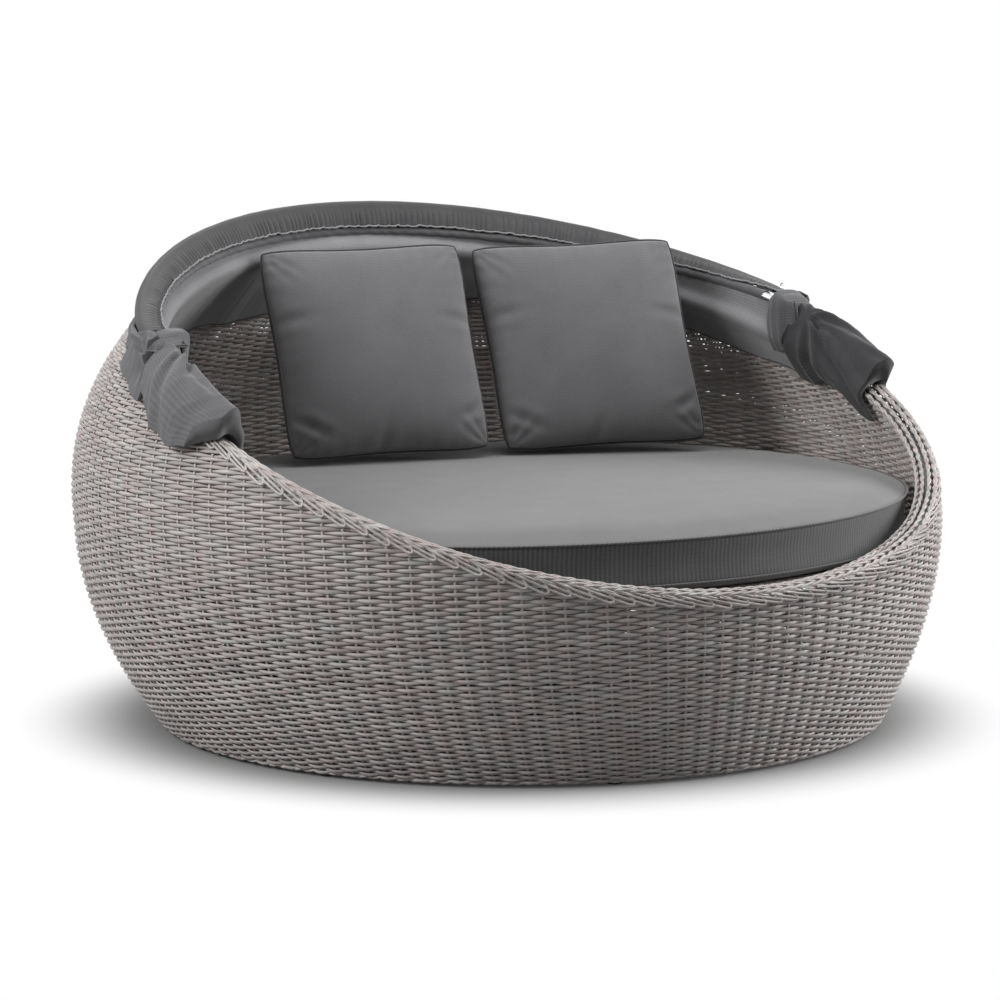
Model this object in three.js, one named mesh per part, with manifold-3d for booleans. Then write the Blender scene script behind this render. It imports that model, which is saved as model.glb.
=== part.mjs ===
// Outdoor daybed: a round woven bowl on a hidden tube frame, cut off by a tilted plane, with an
// oval seat cushion, two scatter pillows and a cloth canopy on three bows, folded onto the back rim.
// Millimetres, +Z up. The origin is on the floor under the middle of the daybed, -Y is the front.
import * as THREE from 'three';
import { mergeVertices } from 'three/addons/utils/BufferGeometryUtils.js';
import Module from 'manifold-3d';

const wasm = await Module();
wasm.setup();

// The bowl
const HALF_WIDTH = 910;
const HALF_DEPTH = 805;
const BELLY_HEIGHT = 417;
const BASE_WIDTH_SHARE = 0.8;
const BASE_DEPTH_SHARE = 0.9;
const SWELL_POWER = 1.92;
const BASE_FORWARD = 27.5;
const TUCK_SPAN = 550;
const TUCK_SHARE = 0.408;
const TUCK_POWER = 2.285;
const TOP_LEAN_SHARE = 0.195;
const WALL_BOTTOM = 6;
const WALL_STEPS = 56;

// The tilted cut that makes the rim
const RIM_MIDDLE_HEIGHT = 696;
const RIM_SLOPE_SHARE = 0.407;
const RIM_SAG = 34;
const RIM_ITERATION_COUNT = 40;

// The two woven skins and the cavity between them
const WALL_THICKNESS = 41;
const SKIN_THICKNESS = 7;
const SKIN_TOP_GAP = 6;
const OUTER_SKIN_ROW_COUNT = 9;
const INNER_SKIN_ROW_COUNT = 5;
const INNER_SKIN_GAP = 4;

// The plaited rim
const BRAID_OVERHANG = 3;
const BRAID_HALF_HEIGHT = 10;
const BRAID_LIFT = 6;
const BRAID_STEPS = 64;
const BRAID_SIDES = 8;

// Frame tubes
const TUBE_SIDES = 8;
const FIT_GAP = 0.3;
const GLIDE_HEIGHT = 6;
const GLIDE_RADIUS = 15;
const GLIDE_EDGE = 1.5;
const GLIDE_COUNT = 8;
const GLIDE_SIDES = 12;
const BASE_TUBE_RADIUS = 12.5;
const BASE_TUBE_INSET = 31;
const RIM_TUBE_RADIUS = 9;
const RIM_TUBE_DROP = 19;
const SEAT_TUBE_RADIUS = 11;
const SEAT_TUBE_HEIGHT = 307;
const RIB_RADIUS = 9;
const RIB_COUNT = 14;
const RIB_STEPS = 7;
const RIB_FOOT_HEIGHT = 29;
const RIB_HEAD_GAP = 7;
const WELD_GAP = 3.4;
const RING_STEPS = 40;

// Seat slats and woven deck
const SLAT_WIDTH = 38;
const SLAT_HEIGHT = 16;
const SLAT_CORNER = 3;
const SLAT_COUNT = 6;
const SLAT_PITCH = 235;
const SLAT_END_GAP = 5;
const DECK_THICKNESS = 16;
const DECK_EDGE_GAP = 4;

// Seat cushion
const CUSHION_EDGE_GAP = 24;
const CUSHION_BAND_BOTTOM = 17;
const CUSHION_BAND_TOP = 101;
const CUSHION_CROWN = 26;
const CUSHION_BAND_DRAW = 6;
const CUSHION_FOOT_DRAW = 26;
const CUSHION_STEPS = 50;
const CUSHION_BAND_STEPS = 4;
const CUSHION_CROWN_STEPS = 6;

// Scatter pillows
const PILLOW_SIDE = 462;
const PILLOW_THICKNESS = 150;
const PILLOW_EDGE = 3;
const PILLOW_PINCH_SHARE = 0.07;
const PILLOW_FILL_POWER = 0.5;
const PILLOW_GRID_COUNT = 12;
const PILLOW_REST_GAP = 9;
const PILLOW_WIDEST_SHARE = 11 / 24;
const PILLOW_OVERLAP = 2;
const PILLOW_LEAN_DEGREES = 14;
const PILLOW_RIGHT_PLACE_SHARE = 0.4762;
const PILLOW_RIGHT_BOW_GAP = 269.5;
const PILLOW_LEFT_BOW_GAP = 131.3;
const PILLOWS = [
  { name: 'pillow_right', count: 0, bowGap: PILLOW_RIGHT_BOW_GAP, yaw: -25, roll: -2, slumpShare: -0.1 },
  { name: 'pillow_left', count: 1, bowGap: PILLOW_LEFT_BOW_GAP, yaw: -16, roll: -1, slumpShare: -0.065 },
];

// Canopy bows and their pivots
const BOW_RADIUS = 8;
const BOW_RISE = 79;
const PIVOT_RISE = 72;
const BOW_PITCH = 23.8;
const BOW_POINT_COUNT = 36;
const BOW_STEPS = 32;
const BOW_NEST = 12;
const BOW_LEAD = 22;
const BOW_END_EASE = 140;
const BOW_FLARE_SHARE = 0.52;
const BOW_FLARE_EASE = 90;
const BARREL_RADIUS = 13;
const BARREL_LENGTH = 17.4;
const BARREL_GAP = 2;
const BARREL_SIDES = 16;
const BRACKET_THICKNESS = 5;
const BRACKET_WIDTH = 28;
const BRACKET_WALL_GAP = 6;
const BRACKET_LEG = 80;
const BRACKET_NECK = 25;
const BRACKET_HEAD = 15;
const BOLT_RADIUS = 5;
const BOLT_CLEARANCE = 0.3;
const BOLT_HEAD_RADIUS = 9;
const BOLT_HEAD_HEIGHT = 6;
const BOLT_HEAD_GAP = 0.6;
const NUT_RADIUS = 9;
const NUT_HEIGHT = 8;
const HEX_SIDES = 6;

// Canopy cloth
const CLOTH = 1.8;
const SLEEVE_LOOSE = 0.3;
const SLEEVE_SKIP_COUNT = 6;
const SLEEVE_SIDES = 8;
const SLEEVE_PUCKER = 0.4;
const BAND_CLOTH = 2.4;
const BAND_LOOSE = 0.6;
const BAND_CLEARANCE = 4.2;
const BAND_PAST_BOW = 18;
const BAND_PUCKER = 1.2;
const BAND_TURN_DEGREES = [0, 50, 100, 150, 200];
const BACK_FROM_DEGREES = 13;
const BACK_STEPS = 44;
const BACK_THICKNESS = 3;
const BACK_GAP = 1;
const BACK_HEM_DROP = 32;
const BACK_HEM_WAVE = 4;
const BACK_HEM_WAVE_COUNT = 6;
const BACK_TOP_RISE = 24;
const BACK_TOP_LEAN = 3.5;
const FLAP_END_SHARE = 0.05;
const FLAP_RIGHT_DROP = 72;
const FLAP_LEFT_DROP = 158;
const FLAP_HEM_WAVE = 10;
const FLAP_HEM_WAVE_COUNT = 5;
const FLAP_GAP = 6;
const FLAP_RIPPLE = 5;
const FLAP_RIPPLE_COUNT = 11;
const FLAP_THICKNESS = 3;
const FLAP_TOP_GAP = 7;
const FLAP_STEPS = 50;
const FLAP_ROW_COUNT = 3;

// Gathered ends: outlines are places outwards and upwards from the middle of the rim, in one order.
// Upwards they are shares of the bolt head's height there, outwards shares of its reach for the cheek
// and of the plait's half width for the rest.
const GATHER_CHEEKS = [
  { degrees: 12, outShare: 0.5, upShare: 0.45 },
  { degrees: 8, outShare: 0.85, upShare: 0.34 },
  { degrees: 4, outShare: 1.1, upShare: 0.48 },
  { degrees: 0, outShare: 1, upShare: 1 },
  { degrees: -2.2, outShare: 1, upShare: 1 },
];
const GATHER_MOUTH_DEGREES = -2.9;
const GATHER_FROM_DEGREES = -3.6;
const GATHER_TO_DEGREES = -18;
const GATHER_STEPS = 12;
const GATHER_FOLD = 7;
const GATHER_FOLD_COUNT = 3;
const CHEEK_SHARES = [
  [0.383, -1.44], [0.5, -0.576], [0.677, 0.115], [0.883, 0.691], [1.016, 1.094], [1.06, 1.44],
  [1.104, 1.728], [1.163, 1.498], [1.148, 1.037], [1.001, 0.518], [0.795, -0.058],
  [0.618, -0.691], [0.5, -1.555],
];
const MOUTH_SHARES = [
  [1.234, -0.864], [1.362, 0.115], [1.064, 0.749], [0.34, 1.008], [-0.681, 1.008],
  [-1.277, 0.749], [-1.532, 0.778], [-1.149, 1.152], [-0.34, 1.469], [1.021, 1.901],
  [2.213, 1.901], [2.553, 0.864], [1.702, -0.979],
];
const SADDLE_SHARES = [
  [1.234, -0.864], [1.362, 0.115], [0.809, 0.72], [-0.638, 0.72], [-1.362, 0.144],
  [-1.319, -0.749], [-1.787, -0.576], [-1.702, 0.346], [-0.681, 1.21], [0.851, 1.901],
  [2.128, 1.958], [2.553, 0.864], [1.702, -0.979],
];
const GATHER_CREASE_SHARES = [0, 0, 0, 0, 0, 0, 0.4, 0.7, -0.9, 1, -1, 0.9, 0.5];

// The bright zip pull at the right end of the band
const ZIP_PULL_WIRE_RADIUS = 1.8;
const ZIP_PULL_LENGTH = 30;
const ZIP_PULL_LOOP_RADIUS = 6;
const ZIP_PULL_FROM = 18;
const ZIP_PULL_STEPS = 14;
const ZIP_PULL_LOOP_COUNT = 6;
const ZIP_PULL_LOOP_DEGREES = 40;

const UP = new THREE.Vector3(0, 0, 1);
const ACROSS = new THREE.Vector3(1, 0, 0);

// Material table
const material = (color, roughness, metalness = 0) =>
  new THREE.MeshStandardMaterial({ color, roughness, metalness });
const wicker = material('#a49d98', 0.6);
const wickerShade = material('#8f8985', 0.65);
const frameMetal = material('#8c8d8e', 0.45, 0.6);
const blackPlastic = material('#2a2a2b', 0.5);
const seatCloth = material('#6f6f70', 0.9);
const charcoalCloth = material('#4b4b4d', 0.92);
const brightSteel = material('#c9cacb', 0.2, 1);

const daybed = new THREE.Group();

function add(name, geometry, surface) {
  const mesh = new THREE.Mesh(geometry, surface);
  mesh.name = name;
  daybed.add(mesh);
  return mesh;
}

// The wall: half width, half depth and middle of the oval at a height, with their slopes
function ovalAt(z) {
  if (z < BELLY_HEIGHT) {
    const below = (BELLY_HEIGHT - z) / BELLY_HEIGHT;
    const swell = below ** SWELL_POWER;
    const swellSlope = (SWELL_POWER * below ** (SWELL_POWER - 1)) / BELLY_HEIGHT;
    return {
      a: HALF_WIDTH * (1 - (1 - BASE_WIDTH_SHARE) * swell),
      b: HALF_DEPTH * (1 - (1 - BASE_DEPTH_SHARE) * swell),
      y: -BASE_FORWARD * below,
      aSlope: HALF_WIDTH * (1 - BASE_WIDTH_SHARE) * swellSlope,
      bSlope: HALF_DEPTH * (1 - BASE_DEPTH_SHARE) * swellSlope,
      ySlope: BASE_FORWARD / BELLY_HEIGHT,
    };
  }
  const above = (z - BELLY_HEIGHT) / TUCK_SPAN;
  const tuck = TUCK_SHARE * above ** TUCK_POWER;
  const tuckSlope = (TUCK_SHARE * TUCK_POWER * above ** (TUCK_POWER - 1)) / TUCK_SPAN;
  return {
    a: HALF_WIDTH * (1 - tuck),
    b: HALF_DEPTH * (1 - tuck),
    y: TOP_LEAN_SHARE * (z - BELLY_HEIGHT),
    aSlope: -HALF_WIDTH * tuckSlope,
    bSlope: -HALF_DEPTH * tuckSlope,
    ySlope: TOP_LEAN_SHARE,
  };
}

// A point of the wall at an angle round the bowl, a height on the outer face and a depth behind it
function wallPoint(angle, z, depth = 0) {
  const oval = ovalAt(z);
  const c = Math.cos(angle);
  const s = Math.sin(angle);
  const around = new THREE.Vector3(-oval.a * s, oval.b * c, 0);
  const upward = new THREE.Vector3(oval.aSlope * c, oval.ySlope + oval.bSlope * s, 1);
  const outward = around.cross(upward).normalize();
  return new THREE.Vector3(oval.a * c, oval.y + oval.b * s, z).addScaledVector(outward, -depth);
}

const cutHeight = (y) => RIM_MIDDLE_HEIGHT + RIM_SLOPE_SHARE * y - RIM_SAG * (y / HALF_DEPTH) ** 2;
const CAVITY_DEPTH = WALL_THICKNESS / 2;

// The height on the outer face where the middle of the wall reaches the tilted cut
function rimHeight(angle) {
  let z = RIM_MIDDLE_HEIGHT;
  for (let i = 0; i < RIM_ITERATION_COUNT; i += 1) {
    const point = wallPoint(angle, z, CAVITY_DEPTH);
    z += (cutHeight(point.y) - point.z) / 2;
  }
  return z;
}

const rimPoint = (angle, depth = CAVITY_DEPTH) => wallPoint(angle, rimHeight(angle), depth);

// Axes at the rim: its middle, outwards through the wall, and upwards along the face of the wall
function rimAxes(angle) {
  const middle = rimPoint(angle);
  const turn = Math.PI / WALL_STEPS;
  const along = rimPoint(angle + turn).sub(rimPoint(angle - turn)).normalize();
  const across = rimPoint(angle, 0).sub(middle).normalize();
  const up = along.clone().cross(across).normalize();
  if (up.z < 0) up.negate();
  return { middle, across, up };
}

// Cloth over the rim: below the cut it follows the wall, above it runs on in the same direction
function clothPoint(angle, depth, rise) {
  const height = rimHeight(angle);
  if (rise < 0) return wallPoint(angle, height + rise, depth);
  return wallPoint(angle, height, depth).addScaledVector(rimAxes(angle).up, rise);
}

function sharesBetween(from, to, steps) {
  return Array.from({ length: steps + 1 }, (_, i) => from + ((to - from) * i) / steps);
}

// Closed bodies made from rows of points
function bodyFrom(points, triangles) {
  let volume = 0;
  for (const [i, j, k] of triangles) {
    volume += points[i].dot(points[j].clone().cross(points[k]));
  }
  const index = triangles.flatMap(([i, j, k]) => (volume > 0 ? [i, j, k] : [i, k, j]));
  const geometry = new THREE.BufferGeometry();
  geometry.setAttribute('position', new THREE.Float32BufferAttribute(points.flatMap((p) => p.toArray()), 3));
  geometry.setIndex(index);
  geometry.computeVertexNormals();
  return geometry;
}

function sideTriangles(rows, columns, closed) {
  const triangles = [];
  const last = closed ? rows : rows - 1;
  for (let i = 0; i < last; i += 1) {
    const next = (i + 1) % rows;
    for (let j = 0; j < columns; j += 1) {
      const beside = (j + 1) % columns;
      triangles.push([i * columns + j, next * columns + j, next * columns + beside]);
      triangles.push([i * columns + j, next * columns + beside, i * columns + beside]);
    }
  }
  return triangles;
}

// A ring: closed sections that follow each other round a closed path
function loftLoop(sections) {
  return bodyFrom(sections.flat(), sideTriangles(sections.length, sections[0].length, true));
}

// A run with two flat ends: closed sections along an open path, the outlines saying how the ends are filled
function loftOpen(sections, outline, endOutline = outline) {
  const columns = sections[0].length;
  const triangles = sideTriangles(sections.length, columns, false);
  const end = (sections.length - 1) * columns;
  const area = THREE.ShapeUtils.area(outline);
  for (const [i, j, k] of THREE.ShapeUtils.triangulateShape(outline, [])) {
    triangles.push(area > 0 ? [i, j, k] : [i, k, j]);
  }
  const endArea = THREE.ShapeUtils.area(endOutline);
  for (const [i, j, k] of THREE.ShapeUtils.triangulateShape(endOutline, [])) {
    triangles.push(endArea > 0 ? [end + i, end + k, end + j] : [end + i, end + j, end + k]);
  }
  return bodyFrom(sections.flat(), triangles);
}

// A closed round tube through points that form a ring
function ringTube(centreAt, radius, steps) {
  const centres = Array.from({ length: steps }, (_, i) => centreAt((i * 2 * Math.PI) / steps));
  const sections = centres.map((centre, i) => {
    const before = centres[(i + steps - 1) % steps];
    const after = centres[(i + 1) % steps];
    const along = after.clone().sub(before).normalize();
    const side = along.clone().cross(UP).normalize();
    const top = side.clone().cross(along).normalize();
    return Array.from({ length: TUBE_SIDES }, (_unused, j) => {
      const turn = ((j + 1 / 2) * 2 * Math.PI) / TUBE_SIDES;
      return centre.clone()
        .addScaledVector(side, radius * Math.cos(turn))
        .addScaledVector(top, radius * Math.sin(turn));
    });
  });
  return loftLoop(sections);
}

// An open round tube along a smooth path
function tube(points, radius, steps) {
  const section = new THREE.Shape().absarc(0, 0, radius, 0, 2 * Math.PI);
  const path = new THREE.CatmullRomCurve3(points);
  return new THREE.ExtrudeGeometry(section, { steps, curveSegments: TUBE_SIDES / 2, extrudePath: path });
}

// Cuts and joins
function toSolid(geometry) {
  const bare = geometry.clone();
  bare.deleteAttribute('normal');
  bare.deleteAttribute('uv');
  const merged = mergeVertices(bare);
  return new wasm.Manifold(new wasm.Mesh({
    numProp: 3,
    vertProperties: Float32Array.from(merged.attributes.position.array),
    triVerts: Uint32Array.from(merged.index.array),
  }));
}

function fromSolid(solid) {
  const mesh = solid.getMesh();
  const geometry = new THREE.BufferGeometry();
  geometry.setAttribute('position', new THREE.BufferAttribute(mesh.vertProperties, 3));
  geometry.setIndex(new THREE.BufferAttribute(mesh.triVerts, 1));
  geometry.computeVertexNormals();
  return geometry;
}

function mirrored(geometry) {
  const copy = mergeVertices(toPlain(geometry));
  copy.scale(-1, 1, 1);
  const index = Array.from(copy.index.array);
  for (let i = 0; i < index.length; i += 3) {
    [index[i + 1], index[i + 2]] = [index[i + 2], index[i + 1]];
  }
  copy.setIndex(index);
  copy.computeVertexNormals();
  return copy;
}

function toPlain(geometry) {
  const copy = geometry.clone();
  copy.deleteAttribute('normal');
  copy.deleteAttribute('uv');
  return copy;
}

// Woven skins: a sheet between two depths, from a bottom height up to the tilted cut
function wovenSkin(bottom, outerDepth, rows) {
  const innerDepth = outerDepth + SKIN_THICKNESS;
  const sections = Array.from({ length: WALL_STEPS }, (_, i) => {
    const angle = (i * 2 * Math.PI) / WALL_STEPS;
    const top = rimHeight(angle) - SKIN_TOP_GAP;
    const face = (depth) => Array.from({ length: rows + 1 }, (_unused, k) =>
      wallPoint(angle, bottom + ((top - bottom) * k) / rows, depth));
    return [...face(outerDepth), ...face(innerDepth).reverse()];
  });
  return loftLoop(sections);
}

// Plaited rim: an oval rope laid over the top of both skins
function rimBraid() {
  const sections = Array.from({ length: BRAID_STEPS }, (_, i) => {
    const axes = rimAxes((i * 2 * Math.PI) / BRAID_STEPS);
    const halfWidth = WALL_THICKNESS / 2 + BRAID_OVERHANG;
    return Array.from({ length: BRAID_SIDES }, (_unused, j) => {
      const turn = (j * 2 * Math.PI) / BRAID_SIDES;
      return axes.middle.clone()
        .addScaledVector(axes.across, halfWidth * Math.cos(turn))
        .addScaledVector(axes.up, BRAID_LIFT + BRAID_HALF_HEIGHT * Math.sin(turn));
    });
  });
  return loftLoop(sections);
}

const baseTubeHeight = GLIDE_HEIGHT + FIT_GAP + BASE_TUBE_RADIUS;
const seatTubeDepth = CAVITY_DEPTH + RIB_RADIUS + SEAT_TUBE_RADIUS + WELD_GAP;
const slatBottom = SEAT_TUBE_HEIGHT + SEAT_TUBE_RADIUS + FIT_GAP;
const deckBottom = slatBottom + SLAT_HEIGHT + FIT_GAP;
const innerSkinBottom = SEAT_TUBE_HEIGHT + SEAT_TUBE_RADIUS + INNER_SKIN_GAP;
const deckTop = deckBottom + DECK_THICKNESS;

function basePoint(angle) {
  const oval = ovalAt(baseTubeHeight);
  const x = (oval.a - BASE_TUBE_INSET) * Math.cos(angle);
  const y = oval.y + (oval.b - BASE_TUBE_INSET) * Math.sin(angle);
  return new THREE.Vector3(x, y, baseTubeHeight);
}

// Turned plastic glide with a rounded lower edge
function glide() {
  const profile = [
    new THREE.Vector2(0, 0),
    new THREE.Vector2(GLIDE_RADIUS - GLIDE_EDGE, 0),
    new THREE.Vector2(GLIDE_RADIUS, GLIDE_EDGE),
    new THREE.Vector2(GLIDE_RADIUS, GLIDE_HEIGHT),
    new THREE.Vector2(0, GLIDE_HEIGHT),
  ];
  return new THREE.LatheGeometry(profile, GLIDE_SIDES).rotateX(Math.PI / 2);
}

// Bent rib that follows the wall from the base ring to the rim tube
function rib(angle) {
  const head = rimHeight(angle) - RIM_TUBE_DROP - RIM_TUBE_RADIUS - RIB_HEAD_GAP;
  const points = Array.from({ length: RIB_STEPS + 1 }, (_, i) =>
    wallPoint(angle, RIB_FOOT_HEIGHT + ((head - RIB_FOOT_HEIGHT) * i) / RIB_STEPS, CAVITY_DEPTH));
  return tube(points, RIB_RADIUS, RIB_STEPS);
}

function rimTube() {
  const centreAt = (angle) => wallPoint(angle, rimHeight(angle) - RIM_TUBE_DROP, CAVITY_DEPTH);
  return ringTube(centreAt, RIM_TUBE_RADIUS, RING_STEPS);
}

function roundedBar(width, height, corner) {
  const bar = new THREE.Shape();
  bar.moveTo(-width / 2 + corner, 0);
  bar.lineTo(width / 2 - corner, 0);
  bar.absarc(width / 2 - corner, corner, corner, -Math.PI / 2, 0);
  bar.lineTo(width / 2, height - corner);
  bar.absarc(width / 2 - corner, height - corner, corner, 0, Math.PI / 2);
  bar.lineTo(-width / 2 + corner, height);
  bar.absarc(-width / 2 + corner, height - corner, corner, Math.PI / 2, Math.PI);
  bar.lineTo(-width / 2, corner);
  bar.absarc(-width / 2 + corner, corner, corner, Math.PI, (3 * Math.PI) / 2);
  return bar;
}

// Slat from the front of the seat ring to its back, cut to stay inside the inner skin
function slat(x) {
  const oval = ovalAt(deckBottom);
  const inset = WALL_THICKNESS + SLAT_END_GAP;
  const edge = (Math.abs(x) + SLAT_WIDTH / 2) / (oval.a - inset);
  const reach = (oval.b - inset) * Math.sqrt(1 - edge ** 2);
  const bar = new THREE.ExtrudeGeometry(roundedBar(SLAT_WIDTH, SLAT_HEIGHT, SLAT_CORNER), {
    depth: 2 * reach,
    curveSegments: 2,
    bevelEnabled: false,
  });
  bar.rotateX(Math.PI / 2);
  bar.translate(x, oval.y + reach, slatBottom);
  return bar;
}

function deck() {
  const oval = ovalAt(innerSkinBottom);
  const inset = WALL_THICKNESS + DECK_EDGE_GAP;
  const outline = new THREE.Shape();
  outline.absellipse(0, oval.y, oval.a - inset, oval.b - inset, 0, 2 * Math.PI);
  const panel = new THREE.ExtrudeGeometry(outline, {
    depth: DECK_THICKNESS,
    curveSegments: WALL_STEPS / 2,
    bevelEnabled: false,
  });
  return panel.translate(0, 0, deckBottom);
}

// The oval of the cushion's upper seam, inside the wall at that height
function cushionOval() {
  const oval = ovalAt(deckTop + CUSHION_BAND_TOP);
  const inset = WALL_THICKNESS + CUSHION_EDGE_GAP;
  return { a: oval.a - inset, b: oval.b - inset, y: oval.y };
}

// Seat cushion: a turned profile with a drawn-in foot, a waisted band between two seams and a crown
function seatCushion() {
  const { a, b, y } = cushionOval();
  const band = CUSHION_BAND_TOP - CUSHION_BAND_BOTTOM;
  const profile = [new THREE.Vector2(0, 0), new THREE.Vector2(a - CUSHION_FOOT_DRAW, 0)];
  profile.push(new THREE.Vector2(a - CUSHION_BAND_DRAW, CUSHION_BAND_BOTTOM / 2));
  for (const share of sharesBetween(0, 1, CUSHION_BAND_STEPS)) {
    const draw = CUSHION_BAND_DRAW * Math.sin(Math.PI * share);
    profile.push(new THREE.Vector2(a - draw, CUSHION_BAND_BOTTOM + band * share));
  }
  for (let i = 1; i < CUSHION_CROWN_STEPS; i += 1) {
    const reachShare = Math.cos((i * Math.PI) / 2 / CUSHION_CROWN_STEPS);
    const crown = CUSHION_CROWN * Math.sqrt(1 - reachShare ** 4);
    profile.push(new THREE.Vector2(a * reachShare, CUSHION_BAND_TOP + crown));
  }
  profile.push(new THREE.Vector2(0, CUSHION_BAND_TOP + CUSHION_CROWN));
  const cushion = new THREE.LatheGeometry(profile, CUSHION_STEPS);
  cushion.rotateX(Math.PI / 2);
  cushion.scale(1, b / a, 1);
  return cushion.translate(0, y, deckTop + FIT_GAP);
}

// Grid lines of a pillow from -1 to 1, closer together towards its edges
function gridShare(i) {
  const widest = Math.PI * PILLOW_WIDEST_SHARE;
  return Math.sin((2 * i / PILLOW_GRID_COUNT - 1) * widest) / Math.sin(widest);
}

// Scatter pillow: two crowned faces meeting in a knife edge whose sides pull in between the corners
function pillow(slumpShare) {
  const n = PILLOW_GRID_COUNT;
  const points = [];
  const ids = new Map();
  const place = (i, j, side) => {
    const onEdge = i === 0 || j === 0 || i === n || j === n;
    const key = `${i} ${j} ${onEdge ? 0 : side}`;
    if (ids.has(key)) return ids.get(key);
    const u = gridShare(i);
    const v = gridShare(j);
    const fill = ((1 - u ** 2) * (1 - v ** 2)) ** PILLOW_FILL_POWER;
    const half = PILLOW_EDGE / 2 + (PILLOW_THICKNESS / 2) * fill;
    const x = (PILLOW_SIDE / 2) * u * (1 - PILLOW_PINCH_SHARE * (1 - v ** 2));
    const z = (PILLOW_SIDE / 2) * v * (1 - PILLOW_PINCH_SHARE * (1 - u ** 2));
    const height = z + PILLOW_SIDE / 2;
    const point = new THREE.Vector3(x + slumpShare * height, onEdge ? 0 : side * half, height);
    ids.set(key, points.push(point) - 1);
    return ids.get(key);
  };
  const triangles = [];
  for (let i = 0; i < n; i += 1) {
    for (let j = 0; j < n; j += 1) {
      for (const side of [1, -1]) {
        const low = [place(i, j, side), place(i + 1, j, side)];
        const high = [place(i + 1, j + 1, side), place(i, j + 1, side)];
        const corners = side > 0 ? [...low, ...high].reverse() : [...low, ...high];
        triangles.push([corners[0], corners[1], corners[2]], [corners[0], corners[2], corners[3]]);
      }
    }
  }
  return bodyFrom(points, triangles);
}

const radians = THREE.MathUtils.degToRad;

// Pivot axis of the canopy: across the daybed, through both brackets, over the rim's widest place
const sideRim = rimPoint(0);
const pivotY = sideRim.y;
const pivotZ = sideRim.z + PIVOT_RISE;
const bracketDepth = WALL_THICKNESS + BRACKET_WALL_GAP + BRACKET_THICKNESS / 2;
const bracketNeck = clothPoint(0, bracketDepth, BRACKET_NECK);
const bracketX = bracketNeck.x;
const rearBowX = bracketX + BRACKET_THICKNESS / 2 + BARREL_GAP + BARREL_LENGTH / 2;
const bowSpacing = BARREL_LENGTH + BARREL_GAP;

// Bows lie along the back rim when folded. Each one nests inside the next and a step lower.
const backRim = rimPoint(Math.PI / 2);
const backReach = Math.hypot(backRim.y - pivotY, backRim.z + BOW_RISE - pivotZ);
const bowStep = BOW_PITCH / backReach;
const bows = {
  front: bowFrom(0),
  middle: bowFrom(1),
  rear: bowFrom(2),
};

const boreRadius = BOLT_RADIUS + BOLT_CLEARANCE;

// A rod on the pivot axis between two places across the daybed
function rodAcross(from, to, radius, sides = BARREL_SIDES) {
  const rod = new THREE.CylinderGeometry(radius, radius, to - from, sides);
  rod.rotateZ(Math.PI / 2);
  return rod.translate((from + to) / 2, pivotY, pivotZ);
}

function turnedAboutPivot(point, turn) {
  const arm = new THREE.Vector3(0, point.y - pivotY, point.z - pivotZ).applyAxisAngle(ACROSS, turn);
  return new THREE.Vector3(point.x, pivotY + arm.y, pivotZ + arm.z);
}

// A point of a bow, from the right pivot at share 0 to the left one at share 1
function bowPoint(order, share) {
  const angle = Math.PI * share;
  const rim = rimPoint(angle);
  const oval = ovalAt(rimHeight(angle));
  const inward = new THREE.Vector3(-Math.cos(angle) * oval.b, -Math.sin(angle) * oval.a, 0).normalize();
  const back = rim.y - pivotY;
  const flare = BOW_FLARE_SHARE * back * Math.exp(-back / BOW_FLARE_EASE);
  const endInset = (sideRim.x - rearBowX - 2 * bowSpacing) * Math.exp(-back / BOW_END_EASE);
  const nest = order * (BOW_NEST + (bowSpacing - BOW_NEST) * Math.abs(Math.cos(angle)));
  const point = rim.addScaledVector(inward, endInset - flare + nest);
  point.z = cutHeight(point.y) + BOW_RISE + (PIVOT_RISE - BOW_RISE) * Math.cos(angle) ** 2;
  return turnedAboutPivot(point, -order * bowStep);
}

function bowFrom(order) {
  const route = sharesBetween(0, 1, BOW_POINT_COUNT).map((share) => bowPoint(order, share)).slice(1, -1);
  const endX = rearBowX + (2 - order) * bowSpacing;
  const arm = new THREE.Vector3(0, route[0].y - pivotY, route[0].z - pivotZ).setLength(BOW_LEAD);
  const right = new THREE.Vector3(endX, pivotY, pivotZ);
  const left = new THREE.Vector3(-endX, pivotY, pivotZ);
  const points = [right, right.clone().add(arm), ...route, left.clone().add(arm), left];
  const path = new THREE.CatmullRomCurve3(points);
  return { endX, points, path, stations: path.getSpacedPoints(BOW_STEPS) };
}

// Bow with a bored barrel welded on each end
function bowTube(bow) {
  let body = toSolid(tube(bow.points, BOW_RADIUS, BOW_STEPS));
  for (const middle of [bow.endX, -bow.endX]) {
    const half = BARREL_LENGTH / 2;
    body = body.add(toSolid(rodAcross(middle - half, middle + half, BARREL_RADIUS)));
  }
  for (const middle of [bow.endX, -bow.endX]) {
    body = body.subtract(toSolid(rodAcross(middle - BARREL_LENGTH, middle + BARREL_LENGTH, boreRadius)));
  }
  return fromSolid(body);
}

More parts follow.
